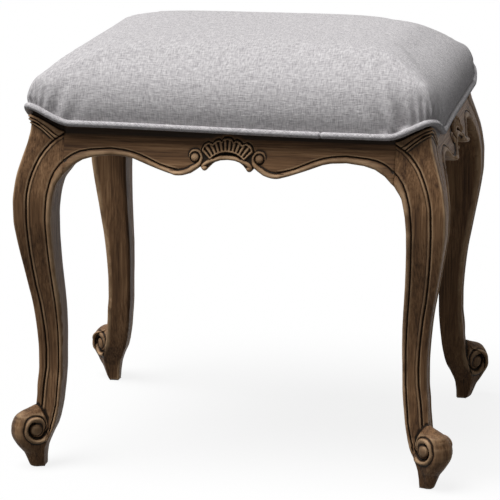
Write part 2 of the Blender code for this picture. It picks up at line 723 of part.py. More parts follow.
def make_seat_board():
    bottom = RAIL_TOP + BOARD_GAP
    half_x = SEAT_HALF_X - COVER_TUCK - COVER_THICKNESS - FABRIC_GAP
    half_y = SEAT_HALF_Y - COVER_TUCK - COVER_THICKNESS - FABRIC_GAP
    outline = notched_outline(half_x, half_y, JOINT_INSET + GLUE_GAP)
    bm = prism(outline, bottom, bottom + BOARD_THICKNESS)
    board = place(stool, "seat_board", finish_mesh("seat_board", bm), plywood)
    pilots = []
    seat_at = RAIL_BACK + SEAT_SCREW_PLACE
    for x in (-1, 1):
        for y in (-1, 1):
            middle = (x * (LEG_X - seat_at), y * (LEG_Y - seat_at), bottom)
            bm = rod(SCREW_RADIUS + SCREW_FIT, 2 * (SEAT_SCREW_BITE + SCREW_FIT), 8, middle, (0, 0, 1))
            pilots.append(finish_mesh("board_pilot", bm))
    apply_shapes(board, "DIFFERENCE", "board_pilots", pilots)


def make_dust_cover():
    top = RAIL_TOP + BOARD_GAP - FABRIC_GAP / 2
    inner = RAIL_BACK + FABRIC_GAP
    outline = notched_outline(LEG_X - inner, LEG_Y - inner, JOINT_INSET + FABRIC_GAP)
    bm = prism(outline, top - DUST_COVER_THICKNESS, top)
    sheet = place(stool, "dust_cover", finish_mesh("dust_cover", bm), black_cloth)
    slots = []
    seat_at = RAIL_BACK + SEAT_SCREW_PLACE
    for x in (-1, 1):
        for y in (-1, 1):
            middle = (x * (LEG_X - seat_at), y * (LEG_Y - seat_at), top)
            slot = rod(SCREW_RADIUS + SCREW_FIT, 4 * DUST_COVER_THICKNESS, 8, middle, (0, 0, 1))
            slots.append(finish_mesh("slot", slot))
    apply_shapes(sheet, "DIFFERENCE", "dust_cover_slots", slots)


def seat_plan(u, v, inset):
    """Point on the seat's plan for u and v from -1 to 1. The outline is a rectangle with round corners."""
    reach = max(abs(u), abs(v))
    if reach == 0:
        return 0.0, 0.0
    norm = (abs(u) ** SEAT_CORNER + abs(v) ** SEAT_CORNER) ** (1 / SEAT_CORNER)
    scale = reach / norm
    return u * scale * (SEAT_HALF_X - inset), v * scale * (SEAT_HALF_Y - inset)


def crown(u, v):
    """Height of the crowned top over the seat's edge."""
    flat = (1 - abs(u) ** CROWN_FLATNESS) * (1 - abs(v) ** CROWN_FLATNESS)
    return max(0.0, flat) ** (1 / CROWN_EASE)


def head_arch(x, y):
    """Rise of the leg heads under a point of the seat."""
    return arch(abs(x) - LEG_X, abs(y) - LEG_Y)


def spread(count):
    """Shares from -1 to 1, closer together towards the ends."""
    return [math.sin(math.pi / 2 * (2 * i / count - 1)) for i in range(count + 1)]


SEAT_US = spread(SEAT_COLUMNS)
SEAT_VS = spread(SEAT_ROWS)


def rim_places():
    """Grid places round the rim of the seat's grid, in order."""
    places = [(i, 0) for i in range(SEAT_COLUMNS)]
    places += [(SEAT_COLUMNS, j) for j in range(SEAT_ROWS)]
    places += [(i, SEAT_ROWS) for i in range(SEAT_COLUMNS, 0, -1)]
    return places + [(0, j) for j in range(SEAT_ROWS, 0, -1)]


def rim_shares():
    return [(SEAT_US[i], SEAT_VS[j]) for i, j in rim_places()]


def add_grid(bm, grid):
    for i in range(SEAT_COLUMNS):
        for j in range(SEAT_ROWS):
            bm.faces.new((grid[i][j], grid[i + 1][j], grid[i + 1][j + 1], grid[i][j + 1]))


def add_band(bm, upper, lower):
    for k in range(len(upper)):
        m = (k + 1) % len(upper)
        bm.faces.new((upper[k], upper[m], lower[m], lower[k]))


def cushion_mesh(name, inset, skirt, hollow_thickness):
    """A crowned cushion. skirt gives rows of inset and drop under its edge. A thickness makes it a shell."""
    bm = bmesh.new()

    def surface(extra):
        """Crowned grid and skirt, drawn in by extra."""
        grid = []
        for u in SEAT_US:
            line = []
            for v in SEAT_VS:
                x, y = seat_plan(u, v, inset + extra)
                edge = RAIL_TOP + EDGE_HEIGHT + head_arch(x, y)
                top = RAIL_TOP + EDGE_HEIGHT + CROWN_HEIGHT - inset - extra
                line.append(bm.verts.new((x, y, edge + (top - edge) * crown(u, v))))
            grid.append(line)
        add_grid(bm, grid)
        rim = [grid[i][j] for i, j in rim_places()]
        for tuck, drop in skirt:
            lower = []
            for u, v in rim_shares():
                x, y = seat_plan(u, v, inset + extra + tuck)
                lower.append(bm.verts.new((x, y, RAIL_TOP + EDGE_HEIGHT - drop + head_arch(x, y))))
            add_band(bm, rim, lower)
            rim = lower
        return grid, rim

    outer_grid, outer_rim = surface(0.0)
    if hollow_thickness:
        add_band(bm, outer_rim, surface(hollow_thickness)[1])
        return finish_mesh(name, bm, 50)
    bottom = [list(line) for line in outer_grid]
    for i in range(1, SEAT_COLUMNS):
        for j in range(1, SEAT_ROWS):
            x, y = seat_plan(SEAT_US[i], SEAT_VS[j], inset)
            bottom[i][j] = bm.verts.new((x, y, RAIL_TOP + EDGE_HEIGHT + head_arch(x, y)))
    add_grid(bm, bottom)
    return finish_mesh(name, bm, 50)


def make_seat():
    cover_skirt = ((COVER_TUCK, COVER_TUCK / 2), (COVER_TUCK, EDGE_HEIGHT - BOARD_GAP))
    cover = cushion_mesh("seat_cover", 0.0, cover_skirt, COVER_THICKNESS)
    place(stool, "seat_cover", cover, linen)
    foam = cushion_mesh("seat_foam", COVER_THICKNESS + FABRIC_GAP, (), 0)
    place(stool, "seat_foam", foam, foam_rubber)


def make_piping():
    """Cord in a linen sleeve round the seat's lower edge, rising over the leg heads."""
    path = []
    for u, v in rim_shares():
        x, y = seat_plan(u, v, -PIPING_OVERHANG)
        path.append((x, y, RAIL_TOP + BOARD_GAP + PIPING_RADIUS + head_arch(x, y)))
    place(stool, "piping", tube("piping", path, PIPING_RADIUS, 1, True), linen)


clear_scene()
stool = new_collection("vanity_stool")
cutters = new_collection("cutters")
stained_wood = material("stained_wood", (0.105, 0.062, 0.036), 0.45)
plain_wood = material("plain_wood", (0.52, 0.36, 0.2), 0.6)
plywood = material("plywood", (0.55, 0.4, 0.24), 0.65)
linen = material("linen", (0.46, 0.44, 0.42), 0.9)
foam_rubber = material("foam_rubber", (0.75, 0.68, 0.45), 0.95)
black_cloth = material("black_cloth", (0.02, 0.02, 0.02), 0.95)
steel = metal("steel", (0.6, 0.58, 0.55), 0.35)
make_legs()
make_rails()
make_dowels()
make_corner_blocks()
make_seat_board()
make_dust_cover()
make_seat()
make_piping()
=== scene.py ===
import math

import bpy
import numpy as np
from mathutils import Matrix, Vector


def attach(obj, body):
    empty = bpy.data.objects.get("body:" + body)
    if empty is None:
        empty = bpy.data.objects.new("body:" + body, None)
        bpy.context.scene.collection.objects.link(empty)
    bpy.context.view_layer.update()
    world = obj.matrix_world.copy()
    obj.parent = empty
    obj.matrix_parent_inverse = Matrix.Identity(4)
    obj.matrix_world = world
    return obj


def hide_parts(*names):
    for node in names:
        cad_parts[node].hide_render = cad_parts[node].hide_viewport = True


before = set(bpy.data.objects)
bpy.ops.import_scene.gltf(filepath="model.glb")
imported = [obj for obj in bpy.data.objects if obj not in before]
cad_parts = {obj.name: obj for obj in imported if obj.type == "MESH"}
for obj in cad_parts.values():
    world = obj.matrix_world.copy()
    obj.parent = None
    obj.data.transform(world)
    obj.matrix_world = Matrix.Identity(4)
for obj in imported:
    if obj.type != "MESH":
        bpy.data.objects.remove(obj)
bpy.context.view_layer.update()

MM = 0.001
ROOT_TWO = math.sqrt(2)

# Camera. It stands a little to the right of the stool, about three metres off, and looks down on it through
# a long lens, as the photograph does. Its place is in metres, its angles in degrees and its lens in mm.
CAMERA_PLACE = (0.59163, -3.08629, 0.97923)
CAMERA_YAW, CAMERA_PITCH, CAMERA_ROLL = 11.062, 13.471, -0.2092
CAMERA_LENS = 192.42


def put(name, data):
    """A new object of the scene with its data."""
    made = bpy.data.objects.new(name, data)
    bpy.context.scene.collection.objects.link(made)
    return made


camera_data = bpy.data.cameras.new("camera")
camera_data.lens = CAMERA_LENS
camera_data.sensor_width = 36
camera = put("camera", camera_data)
look = Matrix.Rotation(math.radians(CAMERA_YAW), 4, "Z")
look = look @ Matrix.Rotation(math.radians(90 - CAMERA_PITCH), 4, "X")
look = look @ Matrix.Rotation(math.radians(CAMERA_ROLL), 4, "Z")
camera.matrix_world = Matrix.Translation(CAMERA_PLACE) @ look
bpy.context.scene.camera = camera

# Studio. A white floor that keeps a soft shadow and a white surround. The light falls from high up, a little
# from the left and the front, as under the broad lamp of a photographer's table.
WHITE, FLOOR_GREY, FLOOR_GLOW = "#FFFFFF", "#606060", 0.865
# The lamp's direction, strength and width in degrees, and the surround's light
SUN_FROM, SUN_STRENGTH, SUN_WIDTH = (-0.6, -0.42, 1.75), 3.5, 40
WORLD_LIGHT = 0.13


def colour(code):
    """An sRGB hex colour as linear RGBA."""
    parts = [int(code[i : i + 2], 16) / 255 for i in (1, 3, 5)]
    return (*[c / 12.92 if c <= 0.04045 else ((c + 0.055) / 1.055) ** 2.4 for c in parts], 1)


def add(tree, kind, links=(), **settings):
    """Adds a node. links are (input, output socket) pairs, and settings name attributes or inputs."""
    node = tree.nodes.new(kind)
    for name, value in settings.items():
        if hasattr(node, name):
            setattr(node, name, value)
        else:
            node.inputs[name.replace("_", " ")].default_value = value
    for name, socket in links:
        tree.links.new(socket, node.inputs[name])
    return node


def ranged(value, **limits):
    """A value taken from one range to another."""
    return add(value.id_data, "ShaderNodeMapRange", [("Value", value)], **limits).outputs[0]


def math_of(operation, *values):
    """Sum, difference, product or greater one of two values."""
    return add(values[0].id_data, "ShaderNodeMath", list(enumerate(values)), operation=operation).outputs[0]


def feed(shader, **sources):
    """Links outputs to a shader's inputs."""
    for name, source in sources.items():
        shader.id_data.links.new(source, shader.inputs[name.replace("_", " ")])


def new_material(name):
    """A material with a bare Principled shader."""
    made = bpy.data.materials.new(name)
    made.use_nodes = True
    return made, made.node_tree, made.node_tree.nodes["Principled BSDF"]


bpy.ops.object.select_all(action="DESELECT")
bpy.ops.mesh.primitive_plane_add(size=12, location=(0, 0, 0))
floor = bpy.context.object
floor.name = "studio_floor"
floor_paint, tree, shader = new_material("studio_floor_paint")
shader.inputs["Base Color"].default_value = colour(FLOOR_GREY)
shader.inputs["Roughness"].default_value = 1
shader.inputs["Specular IOR Level"].default_value = 0


def seen_by_eye(tree):
    """1 for the rays that the eye follows, straight or through a gloss or a glass, and 0 for light."""
    path = add(tree, "ShaderNodeLightPath").outputs
    eye = math_of("MAXIMUM", path["Is Camera Ray"], path["Is Glossy Ray"])
    return math_of("MAXIMUM", eye, path["Is Transmission Ray"])


shader.inputs["Emission Color"].default_value = colour(WHITE)
feed(shader, Emission_Strength=ranged(seen_by_eye(tree), To_Max=FLOOR_GLOW))
floor.data.materials.append(floor_paint)

world = bpy.data.worlds.new("studio")
world.use_nodes = True
bpy.context.scene.world = world
tree = world.node_tree
background = tree.nodes["Background"]
background.inputs["Color"].default_value = colour(WHITE)
feed(background, Strength=ranged(seen_by_eye(tree), To_Min=WORLD_LIGHT, To_Max=1))

sun_data = bpy.data.lights.new("high_lamp", "SUN")
sun_data.energy = SUN_STRENGTH
sun_data.angle = math.radians(SUN_WIDTH)
sun = put("high_lamp", sun_data)
sun.matrix_world = Matrix.Translation(SUN_FROM) @ Vector(SUN_FROM).to_track_quat("Z", "Y").to_matrix().to_4x4()

bpy.context.scene.view_settings.view_transform = "Standard"

# Legs. Each is one piece of beech, bandsawn to the cabriole curve and carved by hand: a panel down the outer
# corner, a bead down each inner edge that runs on as the rail's bead, a moulded collar at the top, and a foot
# on which the panel rolls over into a toe between two whorls. Stained brown, with dark glaze and painted shade
# in the grooves and painted highlight on what stands out.
LEG_X, LEG_Y = 226.0, 181.1
# Where a leg meets its rails: offset from its centre line, and lowest height. Then the rails' top, all in mm
JOINT, JOINT_Z, RAIL_TOP = -35.3, 353.0, 408.0
# Rise of the leg heads' tops, the distance over which they rise, and its power
HEAD_RISE, HEAD_RUN, HEAD_EASE = 19.0, 47.3, 1.3
# Shank and head, in mm: height, outer face, inner corner, width of the corner panel, width of the inner bead
SHANK = (
    (75, 5.3, -22.1, 7.3, 3.3),
    (88, 4.0, -23.5, 7.0, 3.7),
    (100, 3.3, -24.7, 7.5, 3.9),
    (120, 1.5, -26.0, 8.4, 3.7),
    (140, 1.4, -26.3, 8.8, 3.8),
    (160, 2.3, -26.7, 8.8, 4.2),
    (180, 4.0, -26.5, 8.6, 4.7),
    (200, 6.4, -25.6, 8.6, 5.0),
    (220, 9.9, -24.2, 8.7, 5.3),
    (240, 13.4, -22.8, 9.8, 5.4),
    (260, 17.0, -21.8, 11.5, 5.5),
    (280, 20.2, -21.1, 13.5, 5.5),
    (300, 22.5, -21.1, 15.1, 6.0),
    (320, 22.7, -22.7, 15.7, 6.9),
    (340, 20.6, -26.9, 15.9, 7.7),
    (353, 18.2, -35.3, 17.0, 11.0),
)
# Height of the head that the finer rows take, and the offset at which its arch is read, in mm
FINE_TOP, HEAD_EDGE = 22.0, 5.0
# Face of the head and of the rails, in mm: height, distance out from the leg's centre line
FACE = ((353, 18.2), (365, 14.8), (378, 10.8), (388, 7.6), (395, 6.0), (400, 4.8), (404, 4.2), (408, 3.8))
# Groove along the inner bead and groove beside the corner panel, where they curve: offset and height, in mm
BEAD_GROOVE = ((-15.8, 312.6), (-17.4, 330), (-21.8, 347.2), (-25.5, 355.7), (-31.7, 364.2), (-36.6, 369.3))
PANEL_GROOVE = (
    (7.4, 300), (7.0, 320), (6.4, 329.8), (5.0, 338), (3.0, 346.5), (0.2, 355), (-3.0, 363), (-7.0, 371.5),
    (-12.4, 379.5), (-18.4, 386.5), (-25.0, 392.6), (-34.0, 398.6), (-39.8, 401.6),
)
# Foot, in mm: height, inner corner, face, then along and across the diagonal the end of the neck and the start
# and end of the cheek, then the toe and its roundness
FOOT = (
    (0, -3.4, 7.3, 2.5, 7.8, 4.0, 7.0, 8.5, 5.0, 13.4, 1.5),
    (2, -4.6, 9.0, 3.2, 9.5, 5.0, 8.7, 10.5, 6.2, 16.7, 1.5),
    (11, -4.9, 11.2, 5.0, 11.4, 7.0, 10.9, 13.2, 8.4, 20.6, 1.7),
    (18, -5.7, 12.5, 5.6, 12.9, 7.7, 12.5, 15.2, 10.2, 23.6, 1.8),
    (22, -6.2, 13.2, 6.0, 13.8, 8.0, 13.4, 17.5, 11.6, 26.8, 1.9),
    (28, -7.9, 13.6, 5.5, 15.3, 8.0, 14.8, 20.8, 12.6, 31.8, 2.0),
    (33, -9.8, 13.6, 4.5, 16.2, 7.0, 15.6, 23.5, 12.8, 34.9, 2.0),
    (36, -11.0, 13.2, 4.0, 15.8, 6.0, 15.1, 25.5, 12.4, 36.3, 2.0),
    (40, -12.7, 12.4, 3.0, 15.0, 4.5, 14.5, 27.3, 11.9, 37.5, 2.0),
    (44, -14.6, 11.4, 1.5, 14.5, 2.5, 14.1, 28.0, 11.6, 37.8, 2.0),
    (48, -16.3, 9.9, -0.3, 14.3, 0.3, 13.9, 28.0, 11.4, 37.5, 2.0),
    (52, -17.5, 8.9, -0.4, 13.0, 0.5, 13.6, 27.0, 11.8, 36.9, 2.0),
    (56, -18.6, 8.0, -0.4, 11.7, 1.6, 13.4, 24.0, 12.2, 35.6, 2.0),
    (60, -19.4, 7.1, 0.0, 10.0, 3.4, 13.4, 20.0, 12.6, 34.6, 2.0),
    (62, -19.8, 6.9, 0.4, 9.4, 4.4, 13.2, 17.0, 12.9, 33.7, 2.0),
    (64, -20.2, 6.7, 1.0, 8.5, 5.3, 12.4, 13.0, 12.6, 32.9, 2.0),
    (66, -20.6, 6.4, 1.3, 7.8, 5.6, 10.8, 9.0, 11.3, 31.2, 2.0),
    (68.8, -21.1, 6.0, 2.3, 6.2, 5.4, 7.9, 8.2, 8.5, 26.4, 2.0),
    (70.9, -21.4, 5.8, 3.1, 5.2, 5.2, 5.9, 7.2, 6.2, 20.0, 1.9),
    (73.3, -21.8, 5.5, 4.6, 3.2, 5.8, 3.5, 7.2, 3.7, 12.8, 1.8),
    (74.3, -22.0, 5.4, 5.6, 2.0, 6.4, 2.2, 7.2, 2.3, 10.4, 1.7),
    (75, -22.1, 5.3, 7.3, 0.25, 7.35, 0.3, 7.4, 0.35, 8.6, 1.5),
)


def smooth(table, at):
    """Values at places, on a smooth curve without overshoot through rows of (place, value)."""
    xs, ys = (np.array(c, float) for c in zip(*[row[:2] for row in table]))
    slopes = np.diff(ys) / np.diff(xs)
    before, after = slopes[:-1], slopes[1:]
    same = before * after > 0
    inner = np.where(same, 2 * before * after / np.where(same, before + after, 1), 0)
    tangents = np.concatenate([[slopes[0]], inner, [slopes[-1]]])
    at = np.clip(np.asarray(at, float), xs[0], xs[-1])
    i = np.clip(np.searchsorted(xs, at, side="right") - 1, 0, len(xs) - 2)
    span = xs[i + 1] - xs[i]
    t = (at - xs[i]) / span
    low = (1 + 2 * t) * (1 - t) ** 2 * ys[i] + t * (1 - t) ** 2 * span * tangents[i]
    return low + t * t * (3 - 2 * t) * ys[i + 1] + t * t * (t - 1) * span * tangents[i + 1]


def column(table, index):
    """A table's first column and one other."""
    return [(row[0], row[index]) for row in table]


def ease(low, high, at):
    """From 0 at low to 1 at high, gently at both ends. It falls where low is the greater one."""
    t = np.clip((at - low) / (high - low), 0, 1)
    return t * t * (3 - 2 * t)


def arch(a, b):
    """Rise of the leg heads' tops, in mm, at offsets from the leg's centre lines."""
    rise = HEAD_RISE
    for v in (a, b):
        rise = rise * np.sin(np.clip((v - JOINT) / HEAD_RUN, 0, 1) * math.pi / 2) ** HEAD_EASE
    return rise


def nearest(p, q, x, z):
    """Where a line from p to q is nearest to places, as a share of it, and how far off it is there."""
    run = np.array(q[:2], float) - p[:2]
    share = np.clip(((x - p[0]) * run[0] + (z - p[1]) * run[1]) / math.hypot(*run) ** 2, 0, 1)
    return share, np.hypot(x - p[0] - share * run[0], z - p[1] - share * run[1])


def to_line(points, x, z):
    """Distance from places to a line of points, positive to its left."""
    best = np.full(np.shape(x), 1e9)
    for p, q in zip(points, points[1:]):
        away = nearest(p, q, x, z)[1]
        left = (q[0] - p[0]) * (z - p[1]) > (q[1] - p[1]) * (x - p[0])
        best = np.where(away < np.abs(best), np.where(left, away, -away), best)
    return best


def half_round(t):
    """Height of a bead across its width, from 0 at its edges to 1."""
    return np.sqrt(np.clip(1 - (2 * np.clip(t, 0, 1) - 1) ** 2, 0, 1))


def valley(away, width):
    """Shape of a carved groove, 1 in its bottom and 0 at its edge."""
    return np.clip(1 - np.abs(away) / width, 0, 1) ** 1.15


def bell(away, width):
    """A bell curve, 1 in its middle and falling off over a width."""
    return np.exp(-((away / width) ** 2))


FACE_LINE = column(SHANK, 1)[:-1] + list(FACE)
EDGE_LINE = [(row[2], row[0]) for row in SHANK if row[0] >= 100]
BEAD_LINE = [(row[2] + row[4], row[0]) for row in SHANK if 100 <= row[0] < 310] + list(BEAD_GROOVE)
PANEL_LINE = [(row[1] - row[3], row[0]) for row in SHANK if 100 <= row[0] < 300] + list(PANEL_GROOVE)
# The edge bead's height over the face and its turn at the edge, the grooves, and the thin bead and slight round
# of the corner panel, in mm
BEAD_SWELL, BEAD_TURN = 1.1, 3.0
GROOVE_DEEP, GROOVE_WIDE, PANEL_GROOVE_WIDE = 2.3, 1.8, 1.6
PANEL_BEAD, PANEL_BEAD_FAR, PANEL_BEAD_WIDE, PANEL_SWELL = 0.4, 3.8, 2.2, 1.1


def edge_bead(from_edge, past_groove):
    """Relief of the edge bead and its groove, in mm, at distances from the edge and past the groove's line."""
    width = from_edge - past_groove
    t = np.clip(from_edge / np.maximum(width, 1e-6), 0, 1)
    low = np.where(t < 0.5, -np.minimum(width / 2, BEAD_TURN), -GROOVE_DEEP)
    bead = low + (BEAD_SWELL - low) * half_round(t)
    return np.where(past_groove < 0, bead, -GROOVE_DEEP * valley(past_groove, GROOVE_WIDE))


def panel_edge(away):
    """Relief of the corner panel's groove and of the thin bead outside it, in mm, at distances into the panel."""
    thin = PANEL_BEAD * half_round((away + PANEL_BEAD_FAR) / PANEL_BEAD_WIDE)
    return thin - GROOVE_DEEP * valley(away, PANEL_GROOVE_WIDE)


# Mouldings of the head, in mm, from the top down: edge, cove, lip, fine groove, torus, groove and lowest bead
EDGE_HIGH, COVE_DEEP, LIP_HIGH, FINE_DEEP, TORUS_HIGH, UNDER_DEEP, LOW_HIGH = 1.6, 1.5, 2.9, 0.5, 2.5, 2.1, 1.3


def collar_relief(x, depth):
    """Relief of the head's mouldings at a depth under its top, in mm. They spread towards the rail."""
    out = np.clip((HEAD_EDGE - x) / 30, 0, 1)
    upper = 5.6 + 0.6 * out
    lower = 12.6 + 7.0 * out**1.3
    crest = lower - 4.2 - 1.2 * out
    edge = EDGE_HIGH * np.clip(1 - depth / 2.4, 0, 1) ** 1.6
    lip = LIP_HIGH * half_round((depth - upper) / (crest - upper)) ** 0.7
    torus = TORUS_HIGH * half_round((depth - crest) / (lower - crest)) ** 0.8
    low_bead = LOW_HIGH * half_round((depth - lower - 1.0) / 2.4)
    cut = COVE_DEEP * bell(depth - upper + 1.7, 1.5)
    cut = cut + FINE_DEEP * valley(depth - crest, 0.8) + UNDER_DEEP * valley(depth - lower, 1.5)
    return edge + lip + torus + low_bead - cut


# The whorl's eye: its place along the diagonal, height, radius and relief. Then the relief of its coil, and the
# grooves inside and outside the coil: angle from the back, down and round by the toe, and distance in mm
EYE_ALONG, EYE_HEIGHT, EYE_RADIUS, EYE_RAISED = 15.0, 48.6, 7.5, 3.4
COIL_HIGH, SLOPE_HIGH, INSIDE_DEEP, OUTSIDE_DEEP = 2.9, 1.3, 3.4, 1.5
WHORL_INSIDE = (
    (0, 16.6), (5, 16.0), (28, 12.6), (64, 12.0), (106, 10.9), (141, 10.0), (188, 9.6), (205, 9.6),
    (223, 9.3), (253, 8.3), (280, 7.6), (330, 7.4), (372, 7.2),
)
WHORL_OUTSIDE = (
    (0, 22.5), (28, 20.5), (64, 18.0), (100, 17.0), (118, 16.9), (140, 16.6), (172, 15.8), (190, 15.2),
    (231, 16.4), (246, 16.2), (259, 15.7), (298, 14.7), (343, 12.6), (372, 10.6),
)


def whorl_relief(d, z):
    """Relief of the whorl on a foot's cheek, in mm, along and over the diagonal."""
    dx, dz = EYE_ALONG - d, EYE_HEIGHT - z
    r = np.hypot(dx, dz)
    once = np.degrees(np.arctan2(dz, dx)) % 360
    raised = EYE_RAISED * np.clip(1 - (r / EYE_RADIUS) ** 2, 0, 1) ** 0.55
    carved = 0
    for turn in (once, once + 360):
        inside, outside = smooth(WHORL_INSIDE, turn), smooth(WHORL_OUTSIDE, turn)
        end = ease(400, 345, turn)
        coil = COIL_HIGH * ease(5, 50, turn) * (1 - 0.4 * ease(285, 360, turn)) * end
        raised = np.maximum(raised, coil * half_round((r - inside) / (outside - inside)) ** 0.8)
        slope = SLOPE_HIGH * ease(258, 300, turn) * end
        raised = np.maximum(raised, slope * np.clip((outside - r) / 4, 0, 1))
        inner = INSIDE_DEEP * bell(r - inside, 1.6) * ease(266, 244, turn) * ease(2, 16, turn)
        carved = carved + inner + OUTSIDE_DEEP * bell(r - outside, 1.3) * ease(135, 200, turn) * end
    return raised - carved


# Columns of the leg's grid: the inner side, the bead, its groove's tail, the field, the panel's groove, the panel
INNER_COLUMNS, BEAD_COLUMNS, TAIL_COLUMNS, FIELD_COLUMNS, GROOVE_COLUMNS, PANEL_COLUMNS = 6, 14, 4, 12, 32, 30
FIELD_START = INNER_COLUMNS + BEAD_COLUMNS + TAIL_COLUMNS
PANEL_START = FIELD_START + FIELD_COLUMNS + GROOVE_COLUMNS
ALL_COLUMNS = PANEL_START + PANEL_COLUMNS


def shares(count):
    """Even shares from 0 to 1, with this many steps between them."""
    return np.linspace(0, 1, count + 1)


def turned(points):
    """From offsets along the two centre lines to distances along and across the diagonal."""
    a, b = points[..., 0], points[..., 1]
    return np.stack([(a + b) / ROOT_TWO, (b - a) / ROOT_TWO], axis=-1)


# Width of the foot's inner bead at heights, in mm, and how often the inner corner of the post is averaged
FOOT_BEAD = ((0, 2.5), (30, 3.0), (44, 3.4), (47, 3.6), (52, 4.0), (58, 3.8), (75, 3.3))
FOOT_ROUNDING = 60


def foot_row(z, far):
    """Points of one side of a foot's section, from its inner corner to the toe, from the centre lines."""
    sizes = [float(smooth(column(FOOT, k), z)) for k in range(1, len(FOOT[0]))]
    inner, face, d1, w1, d2, w2, d3, w3, toe, roundness = sizes
    edge = turned(np.array([inner, face]))
    d4, w4 = d3, w3
    if far:
        # The far cheek flares a little more
        ear = float(ease(26, 44, z) * ease(71, 55, z))
        d4, w4 = d3 + 0.4 * ear, w3 + 4.6 * ear
        d3 = d3 - 0.6 * ear
        roundness = roundness + 0.2 * ear
    # The inner side and its bead, which has a groove beside it from the neck upwards
    corner = turned(np.array([inner, inner]))
    end = np.array([d1, w1])
    along = end - edge
    run = math.hypot(*along)
    along = along / run
    out = np.array([-along[1], along[0]])
    bead = max(min(float(np.interp(z, *zip(*FOOT_BEAD))), 0.7 * run - 1), 0.05)
    turn = min(bead / 2, BEAD_TURN)
    start = turned(np.array([inner, face - turn]))
    inner_part = corner + shares(INNER_COLUMNS)[:-1, None] * (start - corner)
    groove = float(ease(42, 48, z))
    phi = np.linspace(0, math.pi, BEAD_COLUMNS)
    t = (1 - np.cos(phi)) / 2
    low = np.where(t < 0.5, -turn, -GROOVE_DEEP * groove)
    up = low + (BEAD_SWELL * groove - low) * np.sin(phi)
    bead_part = edge + (t * bead)[:, None] * along + up[:, None] * out
    tail = shares(TAIL_COLUMNS)[1:]
    tail_up = -GROOVE_DEEP * groove * valley(tail, 1)
    tail_part = edge + (bead + GROOVE_WIDE * tail)[:, None] * along + tail_up[:, None] * out
    tail_end = edge + (bead + GROOVE_WIDE) * along
    # The field, then the outline over the neck and the cheek to the toe
    neck = float(ease(62, 72, z))
    panel_at = turned(np.array([face - float(np.interp(z, (60, 75), (7.0, 7.3))), face]))
    middle = end + neck * ((tail_end + panel_at) / 2 - end)
    field_part = tail_end + shares(FIELD_COLUMNS)[1:, None] * (middle - tail_end)
    angles = np.linspace(math.pi / 2, 0, 60)
    nose = np.stack([d4 + (toe - d4) * np.cos(angles) ** (2 / roundness),
                     w4 * np.sin(angles).clip(0) ** (2 / roundness)], axis=1)
    line = np.concatenate([[middle, (d1, w1), (d2, w2), (d3, w3)], nose])
    length = np.concatenate([[0], np.cumsum(np.hypot(*np.diff(line, axis=0).T))])
    at = shares(GROOVE_COLUMNS + PANEL_COLUMNS)[1:] * length[-1]
    outline = np.stack([np.interp(at, length, line[:, k]) for k in (0, 1)], axis=1)
    outline[-1, 1] = 0
    step = np.gradient(outline, axis=0)
    normal = np.stack([-step[:, 1], step[:, 0]], axis=1)
    normal /= np.maximum(np.hypot(*normal.T), 1e-9)[:, None]
    # Carving: the panel's edge on the neck and the whorl on the cheek and the field
    on_neck = ease(d1 + 0.1, d1 - 1.2, outline[:, 0])
    away = (outline - panel_at) @ np.array([1, -1]) / ROOT_TWO
    lift = panel_edge(away) * on_neck * ease(64, 67, z)
    outline = outline + normal * lift[:, None]
    start = d2 - 2.5 + (d1 - d2 + 1) * ease(56, 47, z)
    on_cheek = ease(start, start + 3, outline[:, 0]) * ease(20, 30, z) * ease(69, 66, z)
    on_cheek = on_cheek * ease(2, 8, outline[:, 1])
    lift = whorl_relief(outline[:, 0], z) * on_cheek * np.clip(normal[:, 1], 0, 1)
    outline = outline + normal * lift[:, None]
    lift = whorl_relief(field_part[:, 0], z) * (1 - groove) * ease(-1, 4, field_part[:, 0]) * ease(20, 30, z)
    field_part[:, 1] += lift
    half = np.concatenate([inner_part, bead_part, tail_part, field_part, outline])
    # Under the neck the inner side is rounded
    rounded = half.copy()
    near = slice(1, FIELD_START + FIELD_COLUMNS + 4)
    for _ in range(FOOT_ROUNDING):
        ahead, behind = np.roll(rounded, -1, axis=0), np.roll(rounded, 1, axis=0)
        rounded[near] = ((ahead + behind) / 2)[near]
    half = half + (rounded - half) * ease(42, 28, z)
    d, w = half.T
    return np.stack([(d - w) / ROOT_TWO, (d + w) / ROOT_TWO, np.full(len(half), z)], axis=1)


def leg_columns(z, share):
    """Offsets of a row's columns along the rail, then of its inner corner, its bead's end and its panel.

    z are the columns' heights, and share is how far up the head the row lies, or None below it.
    """
    mid, far_z = float(z[FIELD_START]), float(z[FIELD_START + FIELD_COLUMNS + 20])
    inner = JOINT if share is not None else float(smooth(column(SHANK, 2), mid))
    if mid < 100:
        bead_end = inner + float(smooth(column(SHANK, 4), mid))
        panel_at = float(smooth(FACE_LINE, mid)) - float(smooth(column(SHANK, 3), mid))
    else:
        bead_end, panel_at = (float(np.interp(at, *[[p[k] for p in line] for k in (1, 0)]))
                              for at, line in ((mid, BEAD_LINE), (far_z, PANEL_LINE)))
    bead_end, panel_at = max(bead_end, inner + 0.6), max(panel_at, JOINT + 3.4)
    bead = inner + (bead_end - inner) * (1 - np.cos(np.linspace(0, math.pi, BEAD_COLUMNS))) / 2
    tail = bead_end + shares(TAIL_COLUMNS)[1:] * GROOVE_WIDE
    middle = (tail[-1] + panel_at) / 2
    if panel_at - 4 > tail[-1] + 2:
        middle = max(middle, panel_at - 9)
    stops = (tail[-1], middle, panel_at + 1.2, float(smooth(FACE_LINE, z)[-1]))
    counts = (FIELD_COLUMNS, GROOVE_COLUMNS, PANEL_COLUMNS)
    rest = [p + shares(count)[1:] * (q - p) for p, q, count in zip(stops, stops[1:], counts)]
    return np.concatenate([np.full(INNER_COLUMNS, inner), bead, tail, *rest]), inner, bead_end, panel_at


